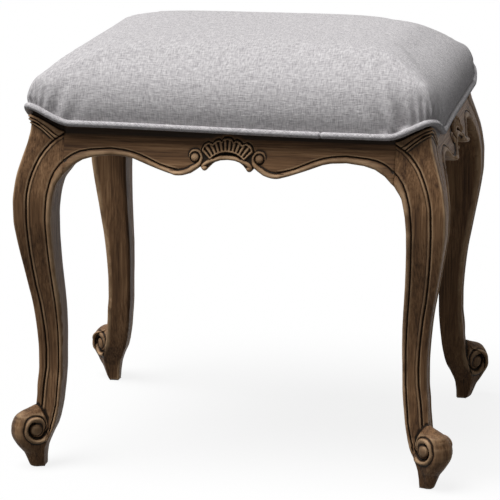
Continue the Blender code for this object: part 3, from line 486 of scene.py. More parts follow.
def leg_grid(far):
    """Grid of points of one side of the leg: rows from the floor to the top, columns from inner corner to toe."""
    levels = [*np.arange(0, 3, 0.5), *np.arange(3, 30, 1.2), *np.arange(30, 60, 0.75), *np.arange(60, 75, 0.45)]
    rows = [foot_row(z, far) for z in levels]
    levels = [*np.arange(75, 100, 1.25), *np.arange(100, 330, 2.5), *np.arange(330, 353, 1.25)]
    heads = [*shares(29)[:-1], *1 + shares(45)]
    # Up to the joint a row is level. Over it the rows bend up to the arched top, of which the last 22 mm are finer
    for level, share in [(level, None) for level in levels] + [(JOINT_Z, share) for share in heads]:
        z = np.full(ALL_COLUMNS, level)
        for _ in range(1 if share is None else 4):
            a, inner, bead_end, panel_at = leg_columns(z, share)
            if share is not None:
                top = RAIL_TOP + arch(a, HEAD_EDGE)
                z = JOINT_Z + (top - FINE_TOP - JOINT_Z) * min(share, 1) + FINE_TOP * max(share - 1, 0)
        face = smooth(FACE_LINE, z)
        if level < 100:
            relief = edge_bead(a - inner, a - bead_end)
            away, width = a - panel_at, face[-1] - panel_at
        else:
            relief = edge_bead(np.abs(to_line(EDGE_LINE, a, z)), -to_line(BEAD_LINE, a, z))
            away = -to_line(PANEL_LINE, a, z)
            width = np.maximum(away + face - a, 1e-6)
        swell = PANEL_SWELL * ease(75, 96, level) * np.sin(math.pi * np.clip(away / width, 0, 1)) ** 0.8
        relief = relief + panel_edge(away) + swell
        if share is not None:
            relief = relief + collar_relief(a, top - z) * ease(-0.2, 0.9, away)
            z[:INNER_COLUMNS] = z[INNER_COLUMNS]
        b = face + relief
        a[PANEL_START:] += (b[-1] - a[-1]) * np.linspace(0, 1, PANEL_COLUMNS) ** 2
        b[:INNER_COLUMNS] = inner + shares(INNER_COLUMNS)[:-1] * (b[INNER_COLUMNS] - inner)
        a[-1] = b[-1] = (a[-1] + b[-1]) / 2
        rows.append(np.column_stack([a, b, z]))
    return np.array(rows)


# Points looked at each way, the step between them, the distance in mm over which they count, and their share
HOLLOW_SCALES = ((4, 1, 1.0, 1.0), (3, 3, 2.4, 0.35))


def hollow(grid):
    """How far each point of a grid lies under its surroundings, in mm: close by, and on a wider scale."""
    rows, deep = len(grid), 0
    # Normals point outwards, because the rings go round anticlockwise and upward
    normal = np.cross(np.roll(grid, -1, axis=1) - np.roll(grid, 1, axis=1), np.gradient(grid, axis=0))
    normal /= np.maximum(np.linalg.norm(normal, axis=-1), 1e-9)[..., None]
    for reach, stride, spread, share in HOLLOW_SCALES:
        total, weight = 0, 0
        for i in range(-reach, reach + 1):
            for j in range(-reach, reach + 1):
                other = np.roll(grid[np.clip(np.arange(rows) + i * stride, 0, rows - 1)], j * stride, axis=1)
                near = np.exp(-((other - grid) ** 2).sum(-1) / (2 * spread**2))
                total = total + other * near[..., None]
                weight = weight + near
        deep = deep + share * ((total / weight[..., None] - grid) * normal).sum(-1)
    return deep


def ring_faces(rows, columns):
    """Faces of a closed grid whose rows are rings. Two more points, after the rest, close its start and its end."""
    ring = np.arange(columns)
    following = np.roll(ring, -1)
    faces = []
    for low in range(0, (rows - 1) * columns, columns):
        high = low + columns
        faces += np.stack([low + ring, low + following, high + following, high + ring], axis=1).tolist()
    last, middle = (rows - 1) * columns, np.full(columns, rows * columns)
    faces += np.stack([ring, middle, following], axis=1).tolist()
    return faces + np.stack([last + ring, last + following, middle + 1], axis=1).tolist()


def smooth_object(name, points, faces):
    """A new smooth-shaded object over points in mm and faces."""
    mesh = bpy.data.meshes.new(name)
    mesh.from_pydata((points * MM).tolist(), [], faces)
    mesh.shade_smooth()
    return put(name, mesh)


def carved_piece(name, grid, deep, faces, wood):
    """A carved piece over a grid in mm, with how deep its points lie, and the painted shade added to that, as an
    attribute that the wood reads.
    """
    points = np.concatenate([grid.reshape(-1, 3), [grid[0].mean(0), grid[-1].mean(0)]])
    piece = smooth_object(name, points, faces)
    level = piece.data.attributes.new("hollow", "FLOAT", "POINT")
    level.data.foreach_set("value", np.append(deep, [0, 0]).astype(np.float32))
    piece.data.materials.append(wood)
    return piece


# The far side is turned over the diagonal. The rings then run anticlockwise, seen from above
far_side = leg_grid(True)[:, ::-1][:, 1:-1]
leg_points = np.concatenate([leg_grid(False), far_side[..., [1, 0, 2]]], axis=1)[:, ::-1]
leg_hollow_and_shade = hollow(leg_points)
# Painted shade, thick under the piping, where its shadow falls, and thinner over the collar: amount, and depths
# under the top in mm
head_depth = RAIL_TOP + arch(leg_points[..., 0], leg_points[..., 1]) - leg_points[..., 2]
for amount, near, end in ((0.22, 3.6, 6.2), (0.08, 13, 17)):
    leg_hollow_and_shade += amount * ease(end, near, head_depth)

STAIN = ((0.36, "#402E22"), (0.52, "#77593F"), (0.68, "#A07D5C"))
# The dark colour is glaze and painted shade in the grooves; the pale one is wear and painted highlight on what
# stands out
PORES, GLAZE_AND_SHADE, RUBBED_AND_HIGHLIGHT = "#2A1F17", "#17110C", "#C2A17E"


def ramped(value, stops):
    """Colours along a value, from its stops."""
    ramp = add(value.id_data, "ShaderNodeValToRGB", [("Fac", value)])
    for _ in stops[2:]:
        ramp.color_ramp.elements.new(0.5)
    for element, (stop, code) in zip(ramp.color_ramp.elements, stops):
        element.position, element.color = stop, colour(code)
    return ramp.outputs[0]


def tinted(share, base, code):
    """A colour mixed into a base, a socket or another colour, by its share."""
    mix = add(share.id_data, "ShaderNodeMix", [(0, share)], data_type="RGBA")
    if isinstance(base, str):
        mix.inputs[6].default_value = colour(base)
    else:
        share.id_data.links.new(base, mix.inputs[6])
    mix.inputs[7].default_value = colour(code)
    return mix.outputs[2]


def bumped(height, strength, distance):
    """Fine relief from a height: its strength, and its distance in m."""
    return add(height.id_data, "ShaderNodeBump", [("Height", height)], Strength=strength,
               Distance=distance).outputs[0]


def streaks(place, sizes, **settings):
    """Noise stretched over a place: its size along each axis in mm."""
    scales = [1000 / size for size in sizes]
    laid = add(place.id_data, "ShaderNodeMapping", [("Vector", place)], Scale=scales).outputs[0]
    return add(place.id_data, "ShaderNodeTexNoise", [("Vector", laid)], Scale=1, **settings).outputs[0]


def stained_beech(name, grain):
    """Beech stained brown, with dark glaze and painted shade in its grooves, and a paler tone, partly wear and
    partly painted highlight, on what stands out.
    """
    made, tree, shader = new_material(name)
    place = add(tree, "ShaderNodeTexCoord").outputs["Object"]
    fine, broad, pores = (
        streaks(place, [along if axis == grain else across for axis in range(3)], Detail=detail, Roughness=rough,
                Distortion=0.25)
        for across, along, detail, rough in ((1.6, 60, 3, 0.65), (13, 190, 2, 0.5), (0.8, 34, 1, 0.5))
    )
    cloudy = add(tree, "ShaderNodeTexNoise", [("Vector", place)], Scale=42, Detail=3).outputs[0]
    tone = add(tree, "ShaderNodeMix", [("A", fine), ("B", broad)], data_type="FLOAT", Factor=0.45)
    wood_tone = ramped(tone.outputs[0], STAIN)
    pore = ranged(pores, From_Min=0.6, From_Max=0.74, To_Max=0.42)
    pored = tinted(pore, wood_tone, PORES)
    depth_and_shade = add(tree, "ShaderNodeAttribute", attribute_name="hollow").outputs["Fac"]
    # Paler on what stands out: wear and painted highlight
    rubbed_and_highlit = ranged(depth_and_shade, From_Min=-0.1, From_Max=-0.36, To_Max=0.85)
    rubbed_and_highlit = math_of("MULTIPLY", rubbed_and_highlit, ranged(cloudy, From_Min=0.34, From_Max=0.6, To_Min=0.25))
    worn_and_highlit = tinted(rubbed_and_highlit, pored, RUBBED_AND_HIGHLIGHT)
    # Darkest in the grooves: dark glaze and painted shade
    glaze_and_shade_colour = tinted(ranged(depth_and_shade, From_Min=0.015, From_Max=0.13, To_Max=0.95), worn_and_highlit, GLAZE_AND_SHADE)
    gloss = ranged(fine, From_Min=0.3, From_Max=0.7, To_Min=0.62, To_Max=0.45)
    relief = bumped(math_of("SUBTRACT", fine, pore), 0.5, 0.0004)
    feed(shader, Base_Color=glaze_and_shade_colour, Roughness=gloss, Normal=relief)
    shader.inputs["Specular IOR Level"].default_value = 0.1
    return made


upright_beech = stained_beech("stained_beech_upright", 2)
faces = ring_faces(*leg_points.shape[:2])
for sy, end in ((-1, "front"), (1, "back")):
    for sx, side in ((-1, "left"), (1, "right")):
        corner = f"{end}_{side}"
        placed = leg_points * (sx, sy, 1) + (sx * LEG_X, sy * LEG_Y, 0)
        turned_faces = faces if sx * sy > 0 else [face[:1] + face[:0:-1] for face in faces]
        leg = carved_piece(f"carved_leg_{corner}", placed, leg_hollow_and_shade, turned_faces, upright_beech)
        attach(leg, "root")
        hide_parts(f"leg_{corner}")

# Rails. Four beech rails, dowelled between the leg heads: the moulded face falls back towards the top, a bead
# follows the serpentine lower edge and curls into a volute on each side of a carved fan shell. Same stain.
# Their back, from the legs' centre line, half their lengths and half of the carved middle, in mm
RAIL_BACK, RAIL_HALF, SIDE_RAIL_HALF, CARVED_HALF = -18.0, 190.58, 145.68, 59.0
# Groove and lower edge of the rail, as on the legs, in mm from the middle of the front rail
RAIL_BEAD_GROOVE = (
    (189.4, 369.3), (180.4, 375.8), (171.3, 379.8), (159.8, 382.1), (148.1, 383.1), (134.7, 384.1),
    (118.9, 382.7), (109.3, 380.6), (98.6, 377.2), (89, 373.2), (77.1, 368.1), (65.3, 364.9), (55.5, 363.2),
    (48, 365), (43.5, 368.3), (40.4, 371.2), (35.6, 370.9), (31.8, 373.8), (32.3, 377.6),
)
RAIL_EDGE = (
    (190.7, 353), (186.4, 356.7), (179.7, 363.6), (168.4, 370.5), (155.7, 374.2), (135.9, 376.5),
    (118.3, 375.5), (108.9, 373.6), (88.6, 366.1), (70.8, 360.2), (59.2, 357), (52.2, 357.3), (41.9, 359.8),
    (35.2, 364.1), (30.8, 367.4), (29.2, 365.2), (27.6, 363.7), (25.8, 363.1), (23.8, 363.9), (21.5, 366.4),
    (18, 370.2), (14, 373.0), (8, 374.9), (0, 375.6),
)
# Bead from the sweep into the volute: distance from the middle, height, half its width
VOLUTE = (
    (66, 361.2, 1.0), (59, 360.3, 3.0), (52, 360.5, 3.4), (45, 362.6, 3.2), (39.4, 366.0, 3.0), (34.0, 369.4, 2.7),
    (30.9, 373.4, 2.3), (29.9, 378, 1.9), (31.4, 382.2, 1.8), (35.2, 385.0, 1.9), (39.6, 384.6, 1.9),
    (42.4, 381.4, 1.6), (43.0, 378.4, 1.0),
)
# The arched bead over the shell, in the same way. Then the eye of the volute and the ball that ends the arched
# bead: distance from the middle, height, radius
ARCH_BEAD = (
    (0, 378.6, 2.5), (8, 378.1, 2.5), (15, 376.5, 2.5), (20.5, 374.2, 2.4), (25, 371.4, 2.2), (28, 368.6, 1.6),
    (28.3, 366.6, 1.1),
)
VOLUTE_EYE, ARCH_CURL = (37.0, 378.4, 5.0), (25.6, 366.9, 3.3)
# The shell: height of the point it spreads from, radius of its inner edge, degrees from flute to flute. Then the
# relief of its face, its rim, the volute's eye and the arched bead, and the depth of flutes and grooves, in mm
SHELL_FOOT, SHELL_INSIDE, FLUTE_ANGLE = 358.0, 27.0, 8.2
FAN_HIGH, RIM_HIGH, EYE_HIGH, ARCH_HIGH = 3.4, 0.7, 3.9, 0.5
FLUTE_DEEP, GAP_DEEP, HALO_DEEP, ROUND_EYE_DEEP = 2.6, 2.0, 1.3, 1.2
# Scalloped rim of the shell: angle off the upright, radius
SHELL_RIM = (
    (0, 42.6), (6, 42.0), (10, 39.4), (14, 41.5), (20, 41.2), (25.5, 39.6), (31, 43.2), (37, 43.6), (43, 42.2),
    (50, 39),
)


def strip(points, x, z):
    """Height over a face of a half-round bead along a smooth line through points of (x, z, half width)."""
    high = np.zeros(np.shape(x))
    along = np.arange(len(points))
    fine = np.linspace(0, along[-1], 5 * along[-1] + 1)
    points = np.stack([smooth(list(zip(along, values)), fine) for values in zip(*points)], axis=1)
    for p, q in zip(points, points[1:]):
        share, away = nearest(p, q, x, z)
        half = p[2] + share * (q[2] - p[2])
        high = np.maximum(high, np.sqrt(np.clip(half**2 - away**2, 0, None)))
    return high


def carving_relief(x, z):
    """Relief of the shell, the arched bead and the volutes, in mm, at distances from the rail's middle."""
    r = np.hypot(x, z - SHELL_FOOT)
    angle = np.degrees(np.arctan2(x, z - SHELL_FOOT))
    rim = smooth(SHELL_RIM, angle)
    flute = (0.5 + 0.5 * np.cos(2 * math.pi * angle / FLUTE_ANGLE)) ** 1.7
    flute = flute * ease(SHELL_INSIDE + 0.8, SHELL_INSIDE + 3, r) * ease(rim - 1.4, rim - 3.2, r)
    fan = FAN_HIGH + RIM_HIGH * bell(r - rim + 1.6, 1.1) - FLUTE_DEEP * flute
    fan = fan * ease(rim, rim - 0.9, r) * ease(SHELL_INSIDE - 0.9, SHELL_INSIDE + 0.5, r) * ease(49, 45, angle)
    arch_bead = strip(ARCH_BEAD, x, z)
    arch_bead = np.where(arch_bead > 0, arch_bead + ARCH_HIGH, 0)
    curl = np.sqrt(np.clip(ARCH_CURL[2] ** 2 - (x - ARCH_CURL[0]) ** 2 - (z - ARCH_CURL[1]) ** 2, 0, None))
    volute = strip(VOLUTE, x, z) * 1.05
    eye_r = np.hypot(x - VOLUTE_EYE[0], z - VOLUTE_EYE[1])
    eye = EYE_HIGH * np.clip(1 - (eye_r / VOLUTE_EYE[2]) ** 2, 0, 1) ** 0.5
    cut = ROUND_EYE_DEEP * bell(eye_r - VOLUTE_EYE[2] - 0.5, 0.8)
    cut = cut + GAP_DEEP * bell(r - SHELL_INSIDE + 1.6, 1.2) * ease(44, 36, angle)
    cut = cut + HALO_DEEP * bell(r - rim - 0.7, 0.8) * ease(54, 46, angle)
    return np.maximum.reduce([fan, arch_bead, curl, volute, eye]) - cut


# Points round the rail: its edges, the bead, its groove's tail, the face and the back. Then how far from the
# middle the fine rings reach, in mm, their number and that of the others
EDGE_ROWS, BEAD_ROWS, TAIL_ROWS, FIELD_ROWS, BACK_ROWS = 4, 16, 4, 64, 6
FINE_HALF, FINE_RINGS, SWEEP_RINGS = 56, 130, 61
# How far the carved middle's lower edge is rounded, in mm
EDGE_TURN = 2.6


def rail_grid():
    """Rings of points round the long rail, from its left end to its right end."""
    sweep = FINE_HALF + shares(SWEEP_RINGS)[1:] * (RAIL_HALF - FINE_HALF)
    half = np.concatenate([np.linspace(0, FINE_HALF, FINE_RINGS), sweep])
    xs = np.concatenate([-half[:0:-1], half])
    low, groove = (np.interp(np.abs(xs), *zip(*line[::-1])) for line in (RAIL_EDGE, RAIL_BEAD_GROOVE[:13]))
    phi = (1 - np.cos(np.linspace(0, math.pi, BEAD_ROWS))) / 2
    rows = []
    front = BEAD_ROWS + TAIL_ROWS + FIELD_ROWS
    for x, z_low, z_groove in zip(xs, low, groove):
        bead = z_low + (z_groove - z_low) * phi
        tail = z_groove + shares(TAIL_ROWS)[1:] * GROOVE_WIDE
        field = tail[-1] + shares(FIELD_ROWS)[1:] * (RAIL_TOP - tail[-1])
        shaped = np.concatenate([bead, tail, field])
        even = z_low + np.linspace(0, 1, front) ** 0.97 * (RAIL_TOP - z_low)
        rows.append(even + ease(52, 60, abs(x)) * (shaped - even))
    z = np.array(rows)
    x = np.repeat(xs[:, None], front, axis=1)
    side = np.abs(x)
    face = smooth(FACE_LINE, z)
    from_edge = np.abs(to_line(RAIL_EDGE, side, z))
    relief = edge_bead(from_edge, -to_line(RAIL_BEAD_GROOVE, side, z))
    round_edge = -EDGE_TURN * (1 - half_round(np.clip(from_edge / EDGE_TURN, 0, 1) / 2))
    relief = round_edge + ease(46, 60, side) * (relief - round_edge) + carving_relief(side, z)
    front_part = np.stack([x, face + relief, z], axis=-1)
    start, end = front_part[:, :1], front_part[:, -1:]
    back, top_back = start.copy(), end.copy()
    back[..., 1] = top_back[..., 1] = RAIL_BACK
    bottom = back + shares(EDGE_ROWS)[:-1, None] * (start - back)
    top = end + shares(EDGE_ROWS)[1:, None] * (top_back - end)
    down = top_back + shares(BACK_ROWS)[1:-1, None] * (back - top_back)
    return np.concatenate([bottom, front_part, top, down], axis=1)


rail_points = rail_grid()
# A short rail has the same carving, with the plain sweeps beside it drawn together
short_points = rail_points.copy()
far_out = np.abs(rail_points[..., 0])
beyond = np.maximum(far_out - CARVED_HALF, 0) * (SIDE_RAIL_HALF - CARVED_HALF) / (RAIL_HALF - CARVED_HALF)
short_points[..., 0] = np.sign(rail_points[..., 0]) * (np.minimum(far_out, CARVED_HALF) + beyond)
faces = ring_faces(*rail_points.shape[:2])
long_kind = (rail_points, LEG_Y, stained_beech("stained_beech_long", 0))
short_kind = (short_points, LEG_X, stained_beech("stained_beech_short", 1))
for side, quarters, (points, half_y, wood) in (
    ("front", 0, long_kind), ("right", 1, short_kind), ("back", 2, long_kind), ("left", 3, short_kind)
):
    placed = np.stack([points[..., 0], -(half_y + points[..., 1]), points[..., 2]], axis=-1)[:, ::-1]
    # Painted shadow along the top, where the piping's shadow falls
    deep = hollow(placed) + 0.11 * ease(395.5, 401, placed[..., 2])
    for _ in range(quarters):
        placed = placed[..., [1, 0, 2]] * (-1, 1, 1)
    rail = carved_piece(f"carved_rail_{side}", placed, deep, faces, wood)
    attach(rail, "root")
    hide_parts(f"rail_{side}")

# Seat cover. Silver-grey linen in plain weave, pulled over a crowned foam cushion and drawn down all round
# under the piping: it bulges between its corners, stands up in a soft ridge at each corner and gathers there.
# Half its width and depth, the height of its lower edge, its crown and its bulge over the edge, all in mm
SEAT_X, SEAT_Y, SEAT_EDGE, CROWN, BULGE = 238.8, 193.5, 416.0, 83.4, 4.0
# Powers of the crown's curve, and what the corners add to them. No two corners are alike
CROWN_FLAT, CROWN_EASE = 5.5, 1.92
CORNER_FLAT, FRONT_RIGHT_FLAT, BACK_RIGHT_FLAT, CORNER_EASE = 0.9, 4.0, -0.6, -0.4
# Powers of its contours in plan at the middle, beside the edge and at the edge, and how late they rise
CORNER_TOP, CORNER_RIDGE, CORNER_EDGE, CORNER_TURN = 4.7, 26.0, 16.5, 7.4
# How far under its finished height the padding starts, the most it may swell, the corner ridges' height and half
# width, and how much lower the edge hangs at the front right, in mm
SWELL_START, SWELL_LIMIT, RIDGE_HIGH, RIDGE_HALF, SEAT_HANG = 0.5, 2.5, 2.6, 7.0, 4.2
# Cells of the coarse cloth, and cells of the finished one for each of them
COLUMNS, ROWS, FINER = 66, 54, 4
# Gathers beside each corner: distance from the corner along the edge, half width, depth, height that they
# reach over the edge, all in mm. The first list is for the long sides and the second for the short ones. Then
# how far they lean out for each mm of height and of distance, and the lip beside each
GATHERS = (
    (
        (6, 1.7, 2.0, 13), (11, 1.9, 2.7, 17), (17, 2.3, 3.4, 23), (24, 2.8, 3.4, 29), (38, 6.0, 8.0, 34),
        (58, 8, 3.0, 28),
    ),
    ((9, 2.6, 1.2, 16), (21, 4.0, 1.6, 24), (40, 8.0, 1.8, 30)),
)
GATHER_LEAN, GATHER_LIP, LIP_PLACE = 0.007, 0.35, 1.9


def seat_plan(u, v, out):
    """Place in plan, in mm, for u and v from -1 to 1. Contours are rectangles with ever rounder corners."""
    reach = np.maximum(np.maximum(np.abs(u), np.abs(v)), 1e-9)
    power = CORNER_TOP + (CORNER_RIDGE - CORNER_TOP) * reach**CORNER_TURN
    power = power + (CORNER_EDGE - CORNER_RIDGE) * ease(0.94, 1, reach)
    norm = np.maximum(((np.abs(u) / reach) ** power + (np.abs(v) / reach) ** power) ** (1 / power), 1e-9)
    return u / norm * (SEAT_X + out), v / norm * (SEAT_Y + out)


def seat_rise(x, y):
    """Rise of the seat's edge over the leg heads, in mm. Made by hand, it hangs lower at the front right."""
    hang = SEAT_HANG * ease(-180, 130, x) * ease(-60, -190, y)
    start = -42 + 10 * ease(100, 200, x)
    over = ease(-46, 12, np.abs(x) - LEG_X) * ease(0, 1, (np.abs(y) - LEG_Y - start) / (12 - start))
    return HEAD_RISE * over - hang


def seat_surface(u, v):
    """Places of the cover, in mm, for u and v from -1 to 1."""
    reach = np.maximum(np.abs(u), np.abs(v))
    bulge = BULGE * np.sin(math.pi * np.clip((1 - reach) / 0.16, 0, 1) ** 0.5)
    x, y = seat_plan(u, v, bulge - SWELL_START * ease(1, 0.97, reach))
    edge = SEAT_EDGE + seat_rise(x, y)
    top = SEAT_EDGE + CROWN - SWELL_START
    at_corner = (np.minimum(np.abs(u), np.abs(v)) / np.maximum(reach, 1e-9)) ** 3
    right = BACK_RIGHT_FLAT + (FRONT_RIGHT_FLAT - BACK_RIGHT_FLAT) * ease(0.2, -0.7, v)
    flat = CORNER_FLAT + (right - CORNER_FLAT) * ease(-0.2, 0.7, u)
    full = np.clip(1 - reach ** (CROWN_FLAT + flat * at_corner), 0, 1)
    full = full ** (1 / (CROWN_EASE + CORNER_EASE * at_corner))
    return np.stack([x, y, edge + (top - edge) * full], axis=-1)


def seat_grid(columns, rows):
    """Shares across and along the seat, closer together towards its edges, and its surface over them."""
    u, v = (np.sin(np.linspace(-1, 1, count + 1) * math.pi / 2) for count in (columns, rows))
    u, v = np.meshgrid(u, v, indexing="ij")
    return u, v, seat_surface(u, v)


def grid_faces(columns, rows):
    """Numbers of a grid's points, and its faces."""
    index = np.arange((columns + 1) * (rows + 1)).reshape(columns + 1, rows + 1)
    return index, np.stack([index[:-1, :-1], index[1:, :-1], index[1:, 1:], index[:-1, 1:]], axis=-1).reshape(-1, 4)


def around(grid):
    """What stands along a grid's edge, all round it."""
    return np.concatenate([grid[:-1, 0], grid[-1, :-1], grid[:0:-1, -1], grid[0, :0:-1]])


def finer(grid, times):
    """A grid of values with this many cells for each of its cells, on smooth curves along both its directions."""
    for axis in (0, 1):
        grid = np.moveaxis(grid, axis, 0)
        last = len(grid) - 1
        at = np.arange(last * times + 1) / times
        k = np.minimum(at.astype(int), last - 1)
        t = (at - k)[:, None, None]
        a, b, c, d = grid[np.maximum(k - 1, 0)], grid[k], grid[k + 1], grid[np.minimum(k + 2, last)]
        grid = b + 0.5 * t * (c - a + t * (2 * a - 5 * b + 4 * c - d + t * (3 * (b - c) + d - a)))
        grid = np.moveaxis(grid, 0, axis)
    return grid


# The foam presses the cloth outwards, and the cloth is held where it is stapled under the piping. This runs on
# a coarse copy, whose movement the finished mesh takes over.
swell = np.zeros((COLUMNS + 1, ROWS + 1, 3))
coarse = seat_grid(COLUMNS, ROWS)[2]
index, faces = grid_faces(COLUMNS, ROWS)
pressed = smooth_object("pressed_cloth", coarse.reshape(-1, 3), faces.tolist())
held = pressed.vertex_groups.new(name="held")
held.add(around(index).tolist(), 1, "REPLACE")
cloth = pressed.modifiers.new("padding", "CLOTH")
cloth.settings.vertex_group_mass = "held"
cloth.settings.use_pressure = True
cloth.settings.uniform_pressure_force = 4
cloth.settings.tension_stiffness = cloth.settings.compression_stiffness = 30
cloth.settings.bending_stiffness = 2
cloth.settings.effector_weights.gravity = 0
for step in range(1, 21):
    bpy.context.scene.frame_set(step)
padded = pressed.evaluated_get(bpy.context.evaluated_depsgraph_get()).to_mesh()
swollen = np.empty(coarse.size)
padded.vertices.foreach_get("co", swollen)
bpy.data.meshes.remove(pressed.data)
bpy.context.scene.frame_set(1)
outward = np.cross(np.gradient(coarse, axis=0), np.gradient(coarse, axis=1))
outward /= np.linalg.norm(outward, axis=-1)[..., None]
size = ((swollen.reshape(coarse.shape) / MM - coarse) * outward).sum(-1)
swell = outward * np.clip(size, 0, SWELL_LIMIT)[..., None]

lengthwise, crosswise, top = seat_grid(COLUMNS * FINER, ROWS * FINER)
top = top + finer(swell, FINER)
index, faces = grid_faces(COLUMNS * FINER, ROWS * FINER)
faces = faces.tolist()
rim_u, rim_v, ring = around(lengthwise), around(crosswise), around(index).tolist()

# Gathers: the cloth is folded under at the corners, so furrows rise from the piping beside them, more so at
# the right
sides = (SEAT_X - np.abs(top[..., 0]), SEAT_Y - np.abs(top[..., 1]))
high = top[..., 2] - SEAT_EDGE - seat_rise(top[..., 0], top[..., 1])
for axis, rows in enumerate(GATHERS):
    along, across = sides[axis], sides[1 - axis]
    dent = np.zeros(along.shape)
    for place, half, depth, reach in rows:
        away = (along - place - GATHER_LEAN * high * place) / half
        furrow = bell(away, 1) - GATHER_LIP * bell(away - LIP_PLACE, 1)
        dent += depth * furrow * bell(np.clip(high, 0, None), reach) * ease(-6, 5, high)
    dent *= ease(22, 4, across) * (0.35 + 0.75 * ease(-60, 60, top[..., 0]))
    top[..., 1 - axis] -= np.sign(top[..., 1 - axis]) * dent

# At each corner the cloth stands up in a soft ridge, where its fullness is turned under
beside = np.abs(lengthwise) - np.abs(crosswise)
beside = np.where(beside > 0, beside * SEAT_Y, -beside * SEAT_X)
ridge = RIDGE_HIGH * np.exp(-beside / RIDGE_HALF) * ease(1, 9, high) * ease(64, 30, high)
top[..., :2] += np.sign(top[..., :2]) * (ridge / ROOT_TWO)[..., None]

# The weave follows the cloth: distances over the cushion from its middle, across and along
arcs = []
for axis in (0, 1):
    steps = np.diff(top, axis=axis, prepend=top.take([0], axis))
    arc = np.cumsum(np.linalg.norm(steps, axis=-1), axis=axis)
    arcs.append(arc - arc.take([arc.shape[axis] // 2], axis))
cloth_place = np.stack(arcs, axis=-1).reshape(-1, 2)

# It ends tucked in under the piping, over a flat underside
points = top.reshape(-1, 3)
rim_place = cloth_place[ring]
for tuck, drop in ((1.2, 1.4), (3.6, 2.6), (3.6, 7.8)):
    x, y = seat_plan(rim_u, rim_v, -tuck)
    following = list(range(len(points), len(points) + len(ring)))
    points = np.concatenate([points, np.stack([x, y, SEAT_EDGE - drop + seat_rise(x, y)], axis=-1)])
    cloth_place = np.concatenate([cloth_place, rim_place * (1 + drop / 240)])
    faces += [[ring[k], ring[k - 1], following[k - 1], following[k]] for k in (*range(1, len(ring)), 0)]
    ring = following
faces += [[ring[k], ring[k - 1], len(points)] for k in (*range(1, len(ring)), 0)]
points = np.concatenate([points, [[0, 0, SEAT_EDGE - 8]]])
cloth_place = np.concatenate([cloth_place, [[0, 0]]])

# Linen weave: threads 0.85 mm apart each way, thick and thin along their length, with slubs a few threads wide
THREAD = 0.85
SLUBS = ((1.6, 9, 1.0), (3.4, 30, 0.28))
LINEN_TONES = ((0, "#9C989C"), (1, "#F9F6F6"))
linen, tree, shader = new_material("woven_linen")
place = add(tree, "ShaderNodeUVMap", uv_map="weave").outputs[0]
height = 0
for width, length, strength in ((THREAD, 7, 1.0), *SLUBS):
    for sizes in ((length, width, 1000), (width, length, 1000)):
        uneven = ranged(streaks(place, sizes, Detail=1), To_Min=-strength, To_Max=strength)
        height = math_of("ADD", height, uneven) if height else uneven
crossing = math_of("MULTIPLY", *[
    add(tree, "ShaderNodeTexWave", [("Vector", place)], bands_direction=direction,
        Scale=math.pi * 100 / THREAD).outputs["Fac"]
    for direction in "XY"
])
tone = ranged(height, From_Min=-1.0, From_Max=1.0)
lit = add(tree, "ShaderNodeMix", [(2, tone), (3, crossing)], Factor=0.3).outputs[0]
feed(shader, Base_Color=ramped(lit, LINEN_TONES), Normal=bumped(lit, 0.9, 0.0006))
shader.inputs["Roughness"].default_value = 0.95
shader.inputs["Specular IOR Level"].default_value = 0.15
shader.inputs["Sheen Weight"].default_value = 0.1


def linen_piece(name, points, faces, places):
    """A piece of linen over points in mm and faces. places are its corners' places in the weave, in mm."""
    piece = smooth_object(name, points, faces)
    weave = piece.data.uv_layers.new(name="weave")
    weave.data.foreach_set("uv", (places * MM).astype(np.float32).ravel())
    piece.data.materials.append(linen)
    return piece


cover = linen_piece("linen_seat", points, faces, cloth_place[[k for face in faces for k in face]])
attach(cover, "root")
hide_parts("seat_cover", "seat_foam")

# Piping. A cord in a sleeve of the same linen, sewn round the seat's lower edge: it hides the cloth's staples
# and rises with the cover over the leg heads. Its ends are butted and stitched in the front and right sides.
# Its radius, how far it stands outside the cover's edge and over the rails, in mm, and where its seams are
PIPING_RADIUS, PIPING_OUT, PIPING_LIFT = 3.75, 0.9, 0.8
PIPING_RINGS, PIPING_SIDES = 1800, 16
PIPING_SEAMS = ((107, -195), (240.3, -12))
x, y = seat_plan(rim_u, rim_v, PIPING_OUT)
line = np.stack([x, y, RAIL_TOP + PIPING_LIFT + PIPING_RADIUS + seat_rise(x, y)], axis=-1)
closed = np.vstack([line, line[:1]])
length = np.concatenate([[0], np.cumsum(np.linalg.norm(np.diff(closed, axis=0), axis=1))])
at = shares(PIPING_RINGS)[:-1] * length[-1]
line = np.stack([np.interp(at, length, closed[:, k]) for k in range(3)], axis=1)
ahead = np.roll(line, -1, axis=0) - np.roll(line, 1, axis=0)
ahead /= np.linalg.norm(ahead, axis=1)[:, None]
outward = np.cross(ahead, [0, 0, 1.0])
outward /= np.linalg.norm(outward, axis=1)[:, None]
turn = 2 * math.pi * shares(PIPING_SIDES)[:-1, None]
# The cord is drawn in at its seams and swells a little beside them
seam_at = np.minimum(*[np.linalg.norm(line[:, :2] - place, axis=1) for place in PIPING_SEAMS])
thick = PIPING_RADIUS * (1 - 0.5 * bell(seam_at, 1.2) + 0.06 * bell(seam_at - 4, 2.5))
round_it = np.cos(turn) * outward[:, None] + np.sin(turn) * np.cross(outward, ahead)[:, None]
tube = line[:, None] + thick[:, None, None] * round_it
ids = np.arange(PIPING_RINGS * PIPING_SIDES).reshape(PIPING_RINGS, PIPING_SIDES)
after = np.roll(ids, -1, 0)
faces = np.stack([ids, after, np.roll(after, -1, 1), np.roll(ids, -1, 1)], axis=-1).reshape(-1, 4)
